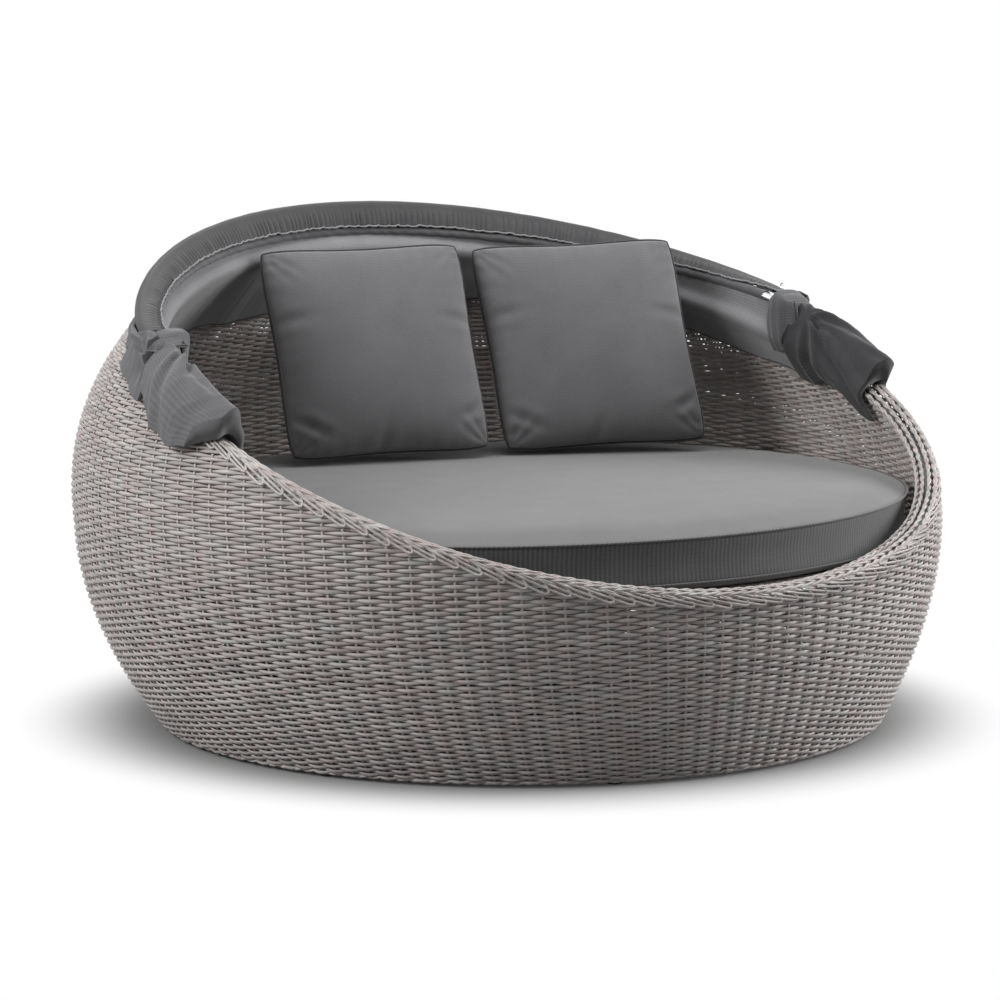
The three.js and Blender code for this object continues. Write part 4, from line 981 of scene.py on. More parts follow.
def wander(x, pitch, seed):
    """A smooth random line along x, between -1 and 1, that changes over about one pitch."""
    dice = np.random.default_rng(seed)
    places = x / pitch
    values = dice.uniform(-1, 1, int(places.max()) + 4)
    i = np.floor(places).astype(int)
    t = smooth_step(places - i, 0, 1)
    return values[i] * (1 - t) + values[i + 1] * t


def sheet_piece(name, outer, inner, body):
    """A sheet with an outer and an inner face, each as stations by rows, closed round its edges."""
    section = np.concatenate([outer, inner[:, ::-1]], 1)
    stations, columns = section.shape[:2]
    faces = section_quads(stations, columns, False, True)
    half = outer.shape[1]
    ends = [[base + j, base + j + 1, base + columns - 2 - j, base + columns - 1 - j]
            for base in (0, (stations - 1) * columns) for j in range(half - 1)]
    piece = mesh_piece(name, section.reshape(-1, 3), np.concatenate([faces, np.array(ends)]))
    length, width = line_length(outer[:, 0]), line_length(outer[len(outer) // 2])
    lay_uv(piece, stations, columns, length * MM, 2 * width * MM)
    wear(piece, canopy_cloth)
    if body:
        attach(piece, body)
    return piece, length * MM, width * MM


# %% [markdown]
# ## The band over the front bow
# The folded canopy shows as one long band. It is stretched smooth over the front bow, then gathered into
# close upright puckers, and it ends in a corded hem past the middle bow.

# %% Canopy band
BAND_STATIONS = 1500
BAND_PAST_BOW = 18
BAND_CLOTH = 2.4
BAND_CLEARANCE = 12.2
PUCKER_PITCH = 13
TAPE_FROM_SHARE = 0.86
TAPE_SPACING = 2.6
band_shares = np.linspace(0.012, 0.988, BAND_STATIONS)
band_centre = bow_points(FRONT, band_shares)
_, band_side, band_lift = bow_axes(band_centre)
band_gap = bow_points(MIDDLE, band_shares) - band_centre
band_down = band_side * dot(band_gap, band_side) + band_lift * dot(band_gap, band_lift)
band_spacing = np.linalg.norm(band_down, axis=1)
band_down /= band_spacing[:, None]
band_inside = band_side * dot(band_down, band_lift) - band_lift * dot(band_down, band_side)
band_run = runs_along(band_centre)
band_past = BAND_PAST_BOW * smooth_step(band_shares, 0.0, 0.07) * (1 + 0.06 * wander(band_run, 60, 11))
pucker_phase = math.pi * (band_run / PUCKER_PITCH + 0.9 * wander(band_run, 70, 12)
                          + 0.35 * wander(band_run, 17, 13))
pucker = np.abs(np.sin(pucker_phase)) ** 0.75 * (0.8 + 0.35 * wander(band_run, 26, 14))


def band_rows(extra, puckered):
    """The band's rows from its hem to the front bow and round it. Extra is the cloth's thickness in mm."""
    rows = []
    reach = band_spacing + band_past
    for share in np.linspace(0, 1, 12)[:-1]:
        along = reach * (1 - share)
        opening = (BAND_CLEARANCE - SLEEVE_RADIUS) * np.minimum(along / band_spacing, 1)
        offset = SLEEVE_RADIUS + opening + extra
        swell = puckered * 2.6 * smooth_step(along, 3, 20) * (1 - 0.45 * smooth_step(along, reach - 8, reach))
        drag = puckered * 0.5 * np.sin(pucker_phase * 2 + 1.2) * smooth_step(along, 3, 20)
        rows.append((offset + swell * (pucker - 0.3), along + drag))
    for degrees in np.linspace(0, 200, 11):
        turn = math.radians(degrees)
        radius = SLEEVE_RADIUS + extra + puckered * 0.35 * wander(band_run, 31, 15)
        rows.append((radius * math.cos(turn), -radius * math.sin(turn)))
    return np.stack([band_centre + band_inside * np.reshape(i, (-1, 1)) + band_down * np.reshape(d, (-1, 1))
                     for i, d in rows], 1)


band_outer = band_rows(BAND_CLOTH, 1)
band_piece, band_length, band_width = sheet_piece("canopy_band", band_outer, band_rows(0, 0), "front_canopy")
# The band wears the darker copy of the canopy cloth: painted shade.
wear(band_piece, canopy_cloth_painted_shade)
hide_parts("front_sleeve")
band_hem = band_outer[:, 0] + band_inside * -0.4
hem_wave = 0.9 * wander(band_run, 19, 16) + 0.9 * np.sin(pucker_phase)
hem_piece = piping("canopy_band_hem", (band_hem + band_down * hem_wave[:, None])[::3], 1.9, piping_light,
                   "front_canopy", loop=False)
on_tape = band_shares > TAPE_FROM_SHARE
for k in range(1, 4):
    tape_line = (band_hem - band_down * (TAPE_SPACING * k) + band_inside)[on_tape][::3]
    piping(f"zip_tape_{k}", tape_line, 1.0, piping_and_painted_shade_cloth, "front_canopy",
                              loop=False)
print("band %.2f m long, %.0f mm wide" % (band_length, band_width * 1000))

# %% [markdown]
# ## Sleeves on the two hidden bows
# The cloth is also sewn round the middle and the rear bow. Only their backs show.


# %% Sleeves
def cloth_tube(name, outside, inside, body, length, width):
    """A tube of cloth with two walls, each given as stations by places round it."""
    section = np.concatenate([outside, inside[::-1]])
    rows, columns = section.shape[:2]
    piece = mesh_piece(name, section.reshape(-1, 3), section_quads(rows, columns, True, True))
    lay_uv(piece, rows, columns, 2 * length * MM, width * MM)
    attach(wear(piece, canopy_cloth), body)
    return piece


def bow_sleeve(name, order, node, body, seed):
    centre = bow_points(order, np.linspace(0.02, 0.98, 760))
    _, side, lift = bow_axes(centre)
    run = runs_along(centre)
    walls = []
    for radius, puckered in ((SLEEVE_RADIUS + SLEEVE_CLOTH, 1), (SLEEVE_RADIUS, 0)):
        wall = []
        for turn in np.arange(14) * 2 * math.pi / 14:
            reach = radius + puckered * (0.5 * wander(run, 23, seed)
                                         + 0.5 * np.sin(run / 5.5 + 2 * turn + 3 * wander(run, 60, seed + 1)))
            wall.append(centre + side * (reach * math.cos(turn))[:, None]
                        + lift * (reach * math.sin(turn))[:, None])
        walls.append(np.stack(wall, 1))
    piece = cloth_tube(name, *walls, body, float(run[-1]), SLEEVE_WIDTH)
    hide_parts(node)


bow_sleeve("rear_bow_sleeve", REAR, "rear_sleeve", "daybed", 21)
bow_sleeve("middle_bow_sleeve", MIDDLE, "middle_sleeve", "middle_canopy", 23)


# %% Caps over the pivots
# Places across the daybed and heights of a strip of cloth over the pivot, from its outside to the inside
CAP_LINE = np.array([
    (826, 780), (825, 797), (812, 811), (792, 817), (768, 818), (748, 816), (740, 809), (738, 798),
    (739, 784), (742, 768), (745, 748), (747, 732), (749, 719), (754, 706), (766, 690)], float)
CAP_HALF_WIDTH = 36
CAP_FORWARD = 9
# How far the cloth falls off behind and ahead of the pivot, at five places of that strip
CAP_DROP_PLACES = (0, 3, 6, 9, 14)
CAP_DROP_BACK = (16, 30, 26, 10, 2)
CAP_DROP_FRONT = (18, 33, 34, 30, 22)


def pivot_cap(name, mirror, seed):
    """Cloth drawn over the barrels and the bolt at a pivot, and down inside the bracket's head."""
    steps = np.linspace(0, len(CAP_LINE) - 1, 70)
    line = np.stack([np.interp(steps, range(len(CAP_LINE)), places) for places in CAP_LINE.T], 1)
    for _ in range(3):
        line[1:-1] = (line[:-2] + 2 * line[1:-1] + line[2:]) / 4
    along = unit(np.gradient(line, axis=0))
    outwards = np.stack([-along[:, 1], along[:, 0]], 1) * -1
    shares = np.linspace(-1, 1, 41)
    behind, ahead = (np.interp(steps, CAP_DROP_PLACES, drops)[:, None]
                     for drops in (CAP_DROP_BACK, CAP_DROP_FRONT))
    over = behind * np.maximum(shares, 0) ** 2.0 + ahead * np.maximum(-shares, 0) ** 1.7
    length = np.linspace(0, 1, len(steps))[:, None]
    fold = (3.6 * np.abs(np.cos(4.6 * shares + 3.4 * length + seed)) ** 0.7
            + 1.5 * np.cos(11 * shares - 7 * length + seed))
    walls = []
    for less in (0.0, 1.5):
        lift = fold * (1 - 0.35 * np.abs(shares)) - over - less
        x = line[:, :1] + outwards[:, :1] * lift
        z = line[:, 1:] + outwards[:, 1:] * lift
        y = PIVOT_Y - CAP_FORWARD + CAP_HALF_WIDTH * shares * (1 + 0.12 * np.sin(3 * math.pi * length + seed))
        walls.append(np.stack([x * (-1 if mirror else 1), np.broadcast_to(y, x.shape), z], -1))
    piece, cap_length, cap_width = sheet_piece(name, walls[0], walls[1], "daybed")
    edge = piping(f"{name}_edge", walls[0][6:, 1], 1.3, piping_and_painted_shade_cloth, "daybed", loop=False)


pivot_cap("pivot_cap_left", True, 0.4)
pivot_cap("pivot_cap_right", False, 1.7)

# %% [markdown]
# ## Cloth over the rim
# Outside, the canopy's back lies on the plaited rim and ends in a wavy hem. Inside, a flap hangs from the
# rear bow over the plait and down the wall, in soft upright folds.


# %% Places near the rim
def near_rim(angle, outward, upward):
    """Places outwards and upwards from the rim's middle: below it they follow the wall."""
    angle, outward, upward = np.broadcast_arrays(angle, outward, upward)
    middle, across, up = rim_axes(angle)
    above = middle + across * outward[..., None] + up * upward[..., None]
    below = wall_point(angle, rim_height(angle) + upward, CAVITY_DEPTH - outward)
    return np.where(upward[..., None] >= 0, above, below)


def rim_sheet(name, angles, profile, thickness, body="daybed"):
    """A sheet whose rows are given as outwards and upwards, each a number or one value per angle."""
    rows = [np.stack([near_rim(angles, np.asarray(out, float) + extra, np.asarray(up, float))
                      for out, up in profile], 1) for extra in (0.0, thickness)]
    return sheet_piece(name, rows[1], rows[0], body)


# %% Outer back
BACK_REACH = 27.0
BACK_DROP = 32
BACK_BEND = 6
BACK_TOP = 24
back_angles = np.linspace(math.radians(13), math.radians(167), 620)
back_run = back_angles * 850
back_fold = wander(back_run, 46, 31) + 0.5 * wander(back_run, 17, 32)
back_profile = []
for share in np.linspace(0, 1, 9):
    low = 1 - share
    hem_wave = 4 * np.cos(12 * back_angles) + 1.2 * wander(back_run, 33, 33)
    back_profile.append((BACK_REACH + 1.4 * low * (1 + back_fold) + 0.6 * back_fold,
                         BACK_BEND * share + low * (hem_wave - BACK_DROP)))
for share in np.linspace(0, 1, 6)[1:]:
    back_profile.append((BACK_REACH + 2.0 * share + 0.7 * back_fold,
                         BACK_BEND + (BACK_TOP - BACK_BEND) * share))
back_piece, back_length, back_width = rim_sheet("canopy_back_cover", back_angles, back_profile, 1.8)
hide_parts("canopy_back")

# %% Inner flap
FLAP_REACH = 31.0
FLAP_CORNER = 5.0
# Degrees from the pivot, and how far the rear bow lies outwards from the rim's middle and above it
REAR_BOW_PLACES = np.array([(0, 33.0, 57.0), (3, 32.1, 55.1), (10, 28.8, 49.0), (20, 18.5, 46.1),
                            (40, 9.4, 38.7), (60, 9.2, 31.7), (90, 14.8, 25.1)])
flap_angles = np.linspace(math.radians(-1.0), math.radians(181.0), 1000)
flap_share = flap_angles / math.pi
flap_run = flap_angles * 820
from_end = np.degrees(np.minimum(flap_angles, math.pi - flap_angles))
bow_out, bow_up = (np.interp(from_end, REAR_BOW_PLACES[:, 0], REAR_BOW_PLACES[:, k]) for k in (1, 2))
flap_wave = 10 * np.cos(10 * math.pi * flap_share) + 3.0 * wander(flap_run, 60, 41)
flap_drop = 56 + (16 + 86 * flap_share) * smooth_step(from_end, 1, 9)
flap_drop += flap_wave * smooth_step(from_end, 2, 12)
flap_fold = (0.5 + 0.5 * wander(flap_run, 75, 42)) + 0.28 * np.abs(wander(flap_run, 30, 43))
flap_profile = []
for share in np.linspace(0, 1, 9):
    out = (bow_out - 8.4) * (1 - share) - 27.0 * share
    over_plait = 7.5 + 13.6 * np.sqrt(np.clip(1 - (out / 29.5) ** 2, 0, 1))
    up = np.maximum((bow_up - 4.0) * (1 - share) + 12.0 * share - 9 * math.sin(math.pi * share), over_plait)
    flap_profile.append((out, up + 0.8 * flap_fold))
flap_profile += [(-30.5, 6.0), (-31.5, 0.5), (-FLAP_REACH, -FLAP_CORNER)]
for share in np.linspace(0, 1, 20)[1:]:
    to_wall = 2.6 * smooth_step(share, 0, 0.3) * smooth_step(from_end, 4, 9)
    flap_profile.append((-FLAP_REACH + to_wall - 7.0 * smooth_step(share, 0.0, 0.55) * flap_fold,
                         -FLAP_CORNER - (flap_drop - FLAP_CORNER) * share))
flap_piece, flap_length, flap_width = rim_sheet("canopy_inner_flap", flap_angles, flap_profile, 1.6)
# The flap wears the lighter copy of the canopy cloth: painted light.
wear(flap_piece, canopy_cloth_painted_light)
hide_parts("canopy_flap")
flap_hem_line = near_rim(flap_angles, flap_profile[-1][0] + 0.8, -flap_drop)
piping("canopy_flap_hem", flap_hem_line[::3], 1.7, piping_and_painted_shade_cloth, "daybed", loop=False)

# %% [markdown]
# ## The folded panels
# Between the bows the cloth lies in a fold that sticks out a little. Its rows lie close together, one over
# the other, where the turn from one bow's motion to the next one's takes place, so they fan out when the
# canopy opens.


# %% Folded panels
PANEL_ROWS = 15
PANEL_STATIONS = 480
SLAB = 3
BOW_TO_PANEL = 9.5
BOWL_MIDDLE = [0, 120, 0]


def away_from_middle(line):
    """The level way from the middle of the bowl to each point of a line."""
    return unit(line * [1, 1, 0] - BOWL_MIDDLE)


def folded_panel(name, low, high, seed):
    """A sheet from a line on one bow to a line on the next. The lines are stations by three.

    The turn between the bows takes place in a slab 3 mm thick through the pivots. It is tilted so that it
    parts the two lines for as many stations as possible, and the panel spans those.
    """
    pivot = np.array([0, PIVOT_Y, PIVOT_Z])
    back = low[len(low) // 2] - pivot

    def turn_at(extra_degrees):
        tilt = math.atan2(back[2], back[1]) + math.radians(extra_degrees)
        return np.array([0, -math.sin(tilt), math.cos(tilt)])

    def parted(extra_degrees):
        way = turn_at(extra_degrees)
        return ((low - pivot) @ way < -0.1) & ((high - pivot) @ way > SLAB + 0.1)

    tilt_degrees = max(np.arange(-2.0, 4.0, 0.05), key=lambda extra: parted(extra).sum())
    kept = np.flatnonzero(parted(tilt_degrees))
    print(name, "slab tilted by %.2f degrees, parts %d of %d stations, %d to %d" %
          (tilt_degrees, len(kept), len(low), kept[0], kept[-1]))
    low, high = low[kept[0]:kept[-1] + 1], high[kept[0]:kept[-1] + 1]
    turn_way = turn_at(tilt_degrees)
    run = runs_along(low)
    low_lift, high_lift = (low - pivot) @ turn_way, (high - pivot) @ turn_way
    outward = away_from_middle(low)
    lines = []
    for share in np.linspace(0, 1, PANEL_ROWS):
        point = low + (high - low) * share
        lift = np.clip(0.2 + 2.6 * (share - 0.05) / 0.9, np.minimum(low_lift, high_lift), high_lift)
        lift = np.where(share == 0, low_lift, np.where(share == 1, high_lift, lift))
        point = point + turn_way * (lift - (point - pivot) @ turn_way)[:, None]
        fold = 6.0 + 2.2 * wander(run, 55, seed) + 1.2 * wander(run, 21, seed + 1)
        lines.append(point + outward * (fold * math.sin(math.pi * share))[:, None])
    outer = np.stack(lines, 1)
    piece, length, width = sheet_piece(name, outer, outer - outward[:, None, :] * 0.9, None)
    print(name, "%.2f m long, %.0f mm wide as folded" % (length, width * 1000))
    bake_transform(piece)


panel_shares = np.linspace(0.02, 0.98, PANEL_STATIONS)
middle_line = bow_points(MIDDLE, panel_shares)
off_the_bow = away_from_middle(middle_line) * BOW_TO_PANEL
back_top = near_rim(math.pi * np.linspace(0.03, 0.97, PANEL_STATIONS), 30.2, BACK_TOP)
folded_panel("canopy_rear_panel", back_top, middle_line + off_the_bow,
             51)
folded_panel("canopy_front_panel", middle_line + off_the_bow, bow_points(FRONT, panel_shares) + off_the_bow,
             53)

# %% [markdown]
# ## The gathered ends
# At each pivot the cloth is drawn together and hangs over the rim as a folded hood. Its outline runs under
# the plait's curve, over the top and down outside. The folds are a fan of creases that start at the pivot.

# %% Gathers
# Outlines at, under and ahead of the pivot: reach outwards and height, as shares of the measures below
CHEEK = np.array([
    (0.383, -1.44), (0.5, -0.576), (0.677, 0.115), (0.883, 0.691), (1.016, 1.094), (1.06, 1.44),
    (1.104, 1.728), (1.163, 1.498), (1.148, 1.037), (1.001, 0.518), (0.795, -0.058), (0.618, -0.691),
    (0.5, -1.555)])
MOUTH = np.array([
    (1.234, -0.864), (1.362, 0.115), (1.064, 0.749), (0.34, 1.008), (-0.681, 1.008), (-1.277, 0.749),
    (-1.532, 0.778), (-1.149, 1.152), (-0.34, 1.469), (1.021, 1.901), (2.213, 1.901), (2.553, 0.864),
    (1.702, -0.979)])
SADDLE = np.array([
    (1.234, -0.864), (1.362, 0.115), (0.809, 0.72), (-0.638, 0.72), (-1.362, 0.144), (-1.319, -0.749),
    (-1.787, -0.576), (-1.702, 0.346), (-0.681, 1.21), (0.851, 1.901), (2.128, 1.958), (2.553, 0.864),
    (1.702, -0.979)])
BOLT_OUT, BOLT_UP = 67.944, 34.724
PLAIT_REACH = 23.5
INNER_ROWS = 30
OUTER_ROWS = 66
GATHER_STATIONS = 210
ROOT_DEGREES, ROOT_ROW = -2.5, 9.2
MM_PER_DEGREE, MM_PER_ROW = 14.0, 26.0
PIVOT_DROP = 42
# Degrees along the rim, share of the cheek's reach, share of its height
CHEEK_PLACES = ((12, 0.5, 0.45), (8, 0.85, 0.34), (4, 1.1, 0.48), (1.4, 1, 1), (0, 1, 1))


def rounded(values, places):
    """Catmull-Rom through rows of values at evenly numbered places."""
    i = np.clip(np.floor(places).astype(int), 0, len(values) - 2)
    t = (places - i)[:, None]
    p0, p1 = values[np.maximum(i - 1, 0)], values[i]
    p2, p3 = values[i + 1], values[np.minimum(i + 2, len(values) - 1)]
    return 0.5 * (2 * p1 + (p2 - p0) * t + (2 * p0 - 5 * p1 + 4 * p2 - p3) * t ** 2
                  + (3 * p1 - p0 - 3 * p2 + p3) * t ** 3)


def gather_sections():
    """Angle in degrees and outline of each rough section, from behind the pivot to the front edge."""
    degrees, outlines = [], []
    for angle, out_share, up_share in CHEEK_PLACES:
        outline = CHEEK * [BOLT_OUT, BOLT_UP]
        root = outline[0, 0]
        outline[:, 0] = root + (outline[:, 0] - root) * out_share
        outline[:, 1] = np.where(outline[:, 1] > 0, outline[:, 1] * up_share, outline[:, 1])
        degrees.append(angle)
        outlines.append(outline)
    degrees.append(-0.7)
    outlines.append(MOUTH * [PLAIT_REACH, BOLT_UP])
    for angle in np.linspace(-1.3, -18, 10):
        degrees.append(angle)
        outlines.append(SADDLE * [PLAIT_REACH, BOLT_UP])
    return np.array(degrees), np.array(outlines)


def crease_swell(run, rise, creases, seed):
    """How far the creases that start at the pivot pull the cloth in, and how far it swells between."""
    swell = np.zeros(run.shape)
    for far_run, far_rise, depth in creases:
        far = math.hypot(far_run, far_rise)
        t = (run * far_run + rise * far_rise) / far
        beside = (rise * far_run - run * far_rise) / far + 3.5 * np.sin(t / 24 + far)
        width = 3.0 + 7.0 * np.clip(t / far, 0, 1.3)
        here = smooth_step(t, -4, 22) * (1 - 0.6 * smooth_step(t, far * 0.8, far * 1.25))
        swell -= depth * here * np.exp(-(beside / width) ** 2)
        swell += 0.62 * depth * here * np.exp(-((np.abs(beside) - 2.1 * width) / (1.1 * width)) ** 2)
    waves = 3.0 * wander(run + 1000, 37, seed) * wander(rise + 500, 29, seed + 1)
    waves += 0.8 * wander(run + 0.7 * rise + 1000, 13, seed + 2)
    return (swell + waves) * smooth_step(np.hypot(run, rise), 0, 40)


def gather(name, node, mirror, seed, creases, outer_drop, end_drop, cloth):
    degrees, outlines = gather_sections()
    fine = np.linspace(0, len(degrees) - 1, GATHER_STATIONS)
    angles = np.interp(fine, range(len(degrees)), degrees)
    flare = smooth_step(angles, -11, -18)[:, None]
    beside_pivot = smooth_step(angles, -0.6, -1.6)[:, None] * smooth_step(angles, -9.0, -3.5)[:, None]
    drop_inside = end_drop * flare + PIVOT_DROP * beside_pivot
    down_outside = outer_drop * smooth_step(angles, -1, -6) * smooth_step(angles, -19, -12)
    drop_outside = 10 * flare + down_outside[:, None]

    def face_of_sheet(rows, inwards, outwards, at_inner_hem, at_outer_hem, creased):
        """The outline through all sections, with its creases, let down and spread at its two hems."""
        grid = np.stack([rounded(outline, rows) for outline in outlines])
        out, up = (np.stack([np.interp(fine, range(len(degrees)), values) for values in part.T], 1)
                   for part in (grid[..., 0], grid[..., 1]))
        if creased:
            run, rise = np.broadcast_arrays((ROOT_DEGREES - angles[:, None]) * MM_PER_DEGREE,
                                            (rows[None, :] - ROOT_ROW) * MM_PER_ROW)
            way = unit(np.stack([out, up], -1) - np.array([4.0, -6.0]))
            swell = crease_swell(run, rise, creases, seed)
            out, up = out + way[..., 0] * swell, up + way[..., 1] * swell
        lower_in = smooth_step(rows, *at_inner_hem)[None, :]
        lower_out = smooth_step(rows, *at_outer_hem)[None, :]
        up = up - drop_inside * lower_in - drop_outside * lower_out
        out = out - inwards * flare * lower_in + outwards * flare * lower_out
        skew = 3.2 * smooth_step(angles, -6, -18)[:, None] * (lower_out * 1.4 - lower_in * 0.6)
        return near_rim(np.radians(angles[:, None] + skew), out, up)

    inner_rows = rounded(np.arange(6.0)[:, None], np.linspace(0, 5, INNER_ROWS))[:, 0]
    outer_rows = np.linspace(6, 12, OUTER_ROWS)
    section = np.concatenate([face_of_sheet(inner_rows, 3, 5, (3.6, 5.0), (1.2, 0.0), False),
                              face_of_sheet(outer_rows, 5, 7, (7.6, 6.0), (10.6, 12.0), True)], 1)
    if mirror:
        section = section * [-1, 1, 1]
    stations, columns = section.shape[:2]
    faces = section_quads(stations, columns, False, True)
    caps = []
    across = [round((OUTER_ROWS - 1) * (1 - k / (INNER_ROWS - 1))) + INNER_ROWS for k in range(INNER_ROWS)]
    for base in (0, (stations - 1) * columns):
        caps += [[base + k, base + k + 1, base + across[k + 1], base + across[k]]
                 for k in range(INNER_ROWS - 1)]
    faces = np.concatenate([faces, np.array(caps)])
    if mirror:
        faces = faces[:, ::-1]
    piece = mesh_piece(name, section.reshape(-1, 3), faces)
    lay_uv(piece, stations, columns, 0.42, 0.3)
    wear(piece, cloth)
    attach(piece, "daybed")
    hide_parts(node)


# Each crease: its far end in millimetres along the rim and up, seen from the pivot, and its depth
LEFT_CREASES = ((190, -52, 7), (205, -14, 6), (150, 24, 9), (205, 62, 6), (70, 66, 7), (60, -66, 6),
                (-60, 40, 6), (-110, -8, 5), (-80, -50, 6))
RIGHT_CREASES = ((170, -58, 8), (200, -26, 7), (120, 6, 8), (205, 38, 6), (95, 66, 6), (55, -64, 7),
                 (-60, 46, 6), (-110, 4, 5), (-75, -44, 5))
gather("canopy_hood_left", "canopy_gather_left", True, 61, LEFT_CREASES, 30, 12, canopy_cloth)
# The right hood wears the dark piping cloth instead of the canopy cloth: painted shade on that hood.
gather("canopy_hood_right", "canopy_gather_right", False, 71, RIGHT_CREASES, 8, 8, piping_and_painted_shade_cloth)

# %% [markdown]
# ## Metal, plastic and the deck
# The frame's own solids keep their shape. They get the real materials: powder-coated steel for the welded
# frame, satin aluminium for the bows, a powder coat in the strand's colour for the brackets, zinc-plated
# steel for bolts and the zip pull, moulded nylon for feet and nuts, and the strand weave for the deck.


# %% Metal and plastic
def worn_metal(name, colour, roughness, metallic, grain_scale, grain_mm, spread):
    """A fixed base colour, a roughness that varies a little with a noise, and a fine relief."""
    material, output = new_material(name)
    place = add_node(material, "ShaderNodeTexCoord")
    patches = noise(material, place, 18.0, detail=4.0)
    rough = add_node(material, "ShaderNodeMapRange",
                     values={"From Min": 0.3, "From Max": 0.7,
                             "To Min": roughness - spread, "To Max": roughness + spread},
                     links={"Value": patches.outputs["Fac"]})
    grain = noise(material, place, grain_scale, detail=2.0)
    relief = bump(material, grain.outputs["Fac"], 0.3, grain_mm * MM)
    shader = add_node(material, "ShaderNodeBsdfPrincipled",
                      values={"Base Color": linear(colour), "Metallic": metallic},
                      links={"Roughness": rough.outputs["Result"], "Normal": relief.outputs[0]})
    return show(material, output, shader)


powder_coated_steel = worn_metal("powder_coated_steel", "#8c8d8e", 0.45, 0.0, 900.0, 0.15, 0.06)
satin_aluminium = worn_metal("satin_aluminium", "#c6c8ca", 0.32, 1.0, 260.0, 0.03, 0.05)
zinc_plated_steel = worn_metal("zinc_plated_steel", "#d4d5d6", 0.2, 1.0, 140.0, 0.03, 0.06)
bracket_coat = worn_metal("powder_coat_in_strand_colour", "#a9a39e", 0.5, 0.0, 900.0, 0.15, 0.06)
moulded_nylon = worn_metal("moulded_nylon", "#2a2a2b", 0.5, 0.0, 500.0, 0.05, 0.05)


# %% Deck weave
DECK_STRANDS_PER_METRE = 1000 / 12


def deck_weave(name):
    """Flat strands over and under each other, from two crossed waves and their checkerboard."""
    material, output = new_material(name)
    place = add_node(material, "ShaderNodeTexCoord")
    across, along = (wave(material, way, DECK_STRANDS_PER_METRE, place.outputs["Object"], Distortion=0.3)
                     for way in "XY")
    squares = add_node(material, "ShaderNodeTexChecker", values={"Scale": DECK_STRANDS_PER_METRE},
                       links={"Vector": place.outputs["Object"]})
    strands = add_node(material, "ShaderNodeMix", settings={"data_type": "FLOAT"},
                       links={"Factor": squares.outputs["Fac"], "A": across.outputs["Fac"],
                              "B": along.outputs["Fac"]})
    # The tone is darker where the strands dip, darkest in the gaps between them: painted shade in the gaps.
    tone = ramp(material, strands.outputs["Result"], "#5f5b58", "#b0aaa5")
    relief = bump(material, strands.outputs["Result"], 0.8, 0.002)
    shader = add_node(material, "ShaderNodeBsdfPrincipled", values={"Roughness": 0.55},
                      links={"Base Color": tone.outputs["Color"], "Normal": relief.outputs[0]})
    return show(material, output, shader)


woven_deck = deck_weave("extruded_polyethylene_deck")

# %% Materials of the solids that stay
kept_solids = {
    "seat_deck": woven_deck,
    "base_ring": powder_coated_steel, "seat_ring": powder_coated_steel, "rim_tube": powder_coated_steel,
    "rear_bow": satin_aluminium, "middle_bow": satin_aluminium, "front_bow": satin_aluminium,
    "zip_pull": zinc_plated_steel,
}
kept_solids.update({f"glide_{k}": moulded_nylon for k in range(1, 9)})
kept_solids.update({f"rib_{k}": powder_coated_steel for k in range(1, 15)})
kept_solids.update({f"seat_slat_{k}": powder_coated_steel for k in range(1, 7)})
for end in ("right", "left"):
    kept_solids[f"pivot_bracket_{end}"] = bracket_coat
    kept_solids[f"pivot_bolt_{end}"] = zinc_plated_steel
    kept_solids[f"pivot_nut_{end}"] = moulded_nylon
for node, surface in kept_solids.items():
    solid = bpy.data.objects[node]
    for k in range(len(solid.material_slots)):
        solid.material_slots[k].material = surface
print("solids with a material of their own:", len(kept_solids))

# %% [markdown]
# ## Floor, light and background
# A floor under soft studio light. Its own colour is a mid grey, which shows near the daybed as a painted
# shade round the base. The background is white for the camera and for reflections only, through Light Path,
# so that it throws no extra light on the object. The floor turns into that white from 0.7 m from the middle
# on.


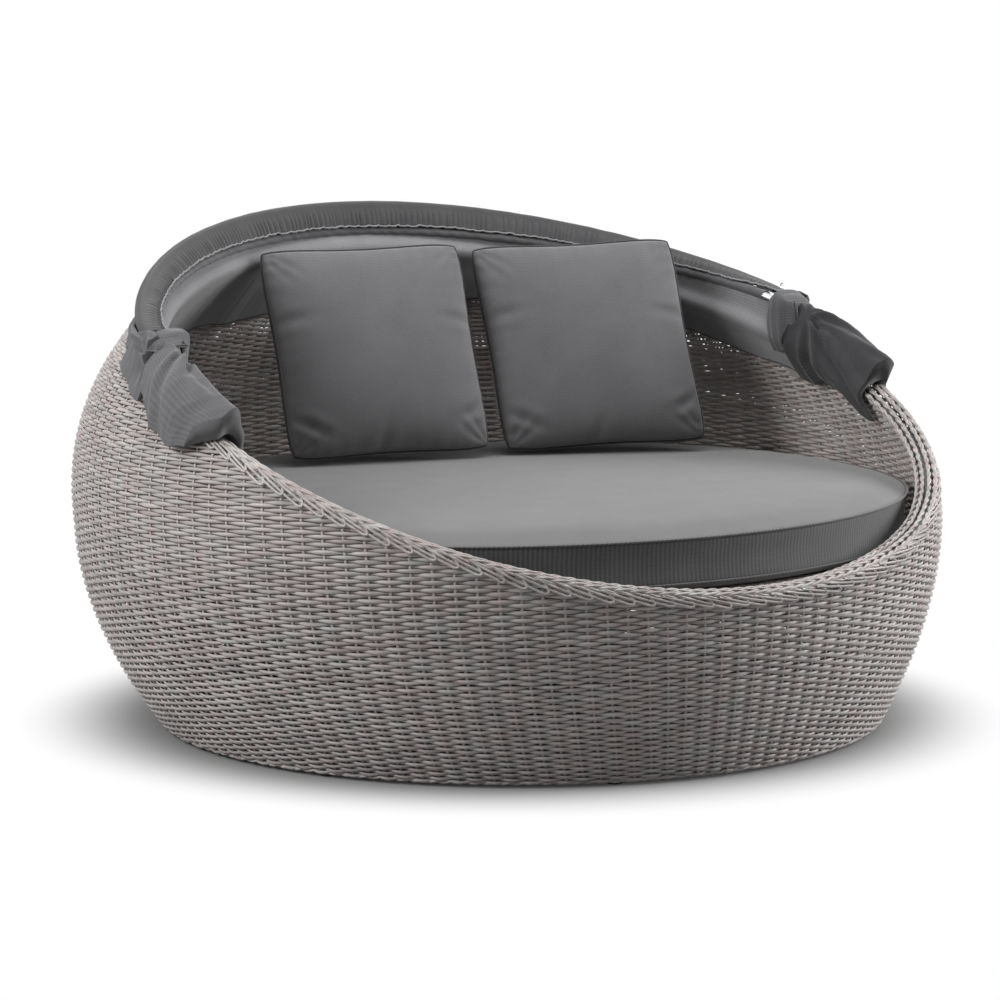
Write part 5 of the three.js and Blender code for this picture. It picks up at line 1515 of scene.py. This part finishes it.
# %% Floor
def studio_floor():
    material, output = new_material("studio_floor")
    place = add_node(material, "ShaderNodeTexCoord")
    distance = add_node(material, "ShaderNodeVectorMath", settings={"operation": "LENGTH"},
                        links={0: place.outputs["Object"]})
    far = add_node(material, "ShaderNodeMapRange", settings={"interpolation_type": "SMOOTHSTEP"},
                   values={"From Min": 0.7, "From Max": 1.02}, links={"Value": distance.outputs["Value"]})
    white_share = add_node(material, "ShaderNodeMath", settings={"operation": "MULTIPLY"},
                           links={0: far.outputs["Result"], 1: seen_rays(material).outputs[0]})
    # Mid grey within 0.7 m of the middle: painted shade round the base.
    painted_shade_grey = add_node(material, "ShaderNodeBsdfDiffuse", values={"Color": linear("#989898")})
    white = add_node(material, "ShaderNodeEmission", values={"Color": (1, 1, 1, 1), "Strength": 1.0})
    mixed = add_node(material, "ShaderNodeMixShader",
                     links={0: white_share.outputs[0], 1: painted_shade_grey.outputs[0], 2: white.outputs[0]})
    return show(material, output, mixed)


floor_mesh = bpy.data.meshes.new("floor")
floor_mesh.from_pydata([(-30, -30, 0), (30, -30, 0), (30, 30, 0), (-30, 30, 0)], [], [(0, 1, 2, 3)])
floor = bpy.data.objects.new("floor", floor_mesh)
bpy.context.scene.collection.objects.link(floor)
wear(floor, studio_floor())


# %% Lights
def softbox(name, place, aim, size, power):
    light = bpy.data.objects.new(name, bpy.data.lights.new(name, "AREA"))
    light.data.shape = "RECTANGLE"
    light.data.size, light.data.size_y = size
    light.data.energy = power
    light.location = place
    light.rotation_euler = (Vector(aim) - Vector(place)).to_track_quat("-Z", "Y").to_euler()
    bpy.context.scene.collection.objects.link(light)


softbox("top_light", (0.0, -0.6, 4.2), (0, 0.1, 0.5), (3.0, 2.2), 104)
softbox("left_light", (-3.9, 0.2, 2.5), (0.2, 0, 0.5), (2.0, 2.0), 112)
softbox("right_light", (3.6, -1.9, 1.8), (0, 0, 0.5), (2.0, 2.2), 140)

world = bpy.data.worlds.new("studio")
bpy.context.scene.world = world
world.use_nodes = True
world.node_tree.nodes.clear()

FILL_STRENGTH = 0.06
backdrop_rays = seen_rays(world)
fill, backdrop = (add_node(world, "ShaderNodeBackground", values={"Color": (1, 1, 1, 1), "Strength": share})
                  for share in (FILL_STRENGTH, 1.0))
both = add_node(world, "ShaderNodeMixShader",
                links={0: backdrop_rays.outputs[0], 1: fill.outputs[0], 2: backdrop.outputs[0]})
add_node(world, "ShaderNodeOutputWorld", links={"Surface": both.outputs[0]})
bpy.context.scene.view_settings.view_transform = "Standard"
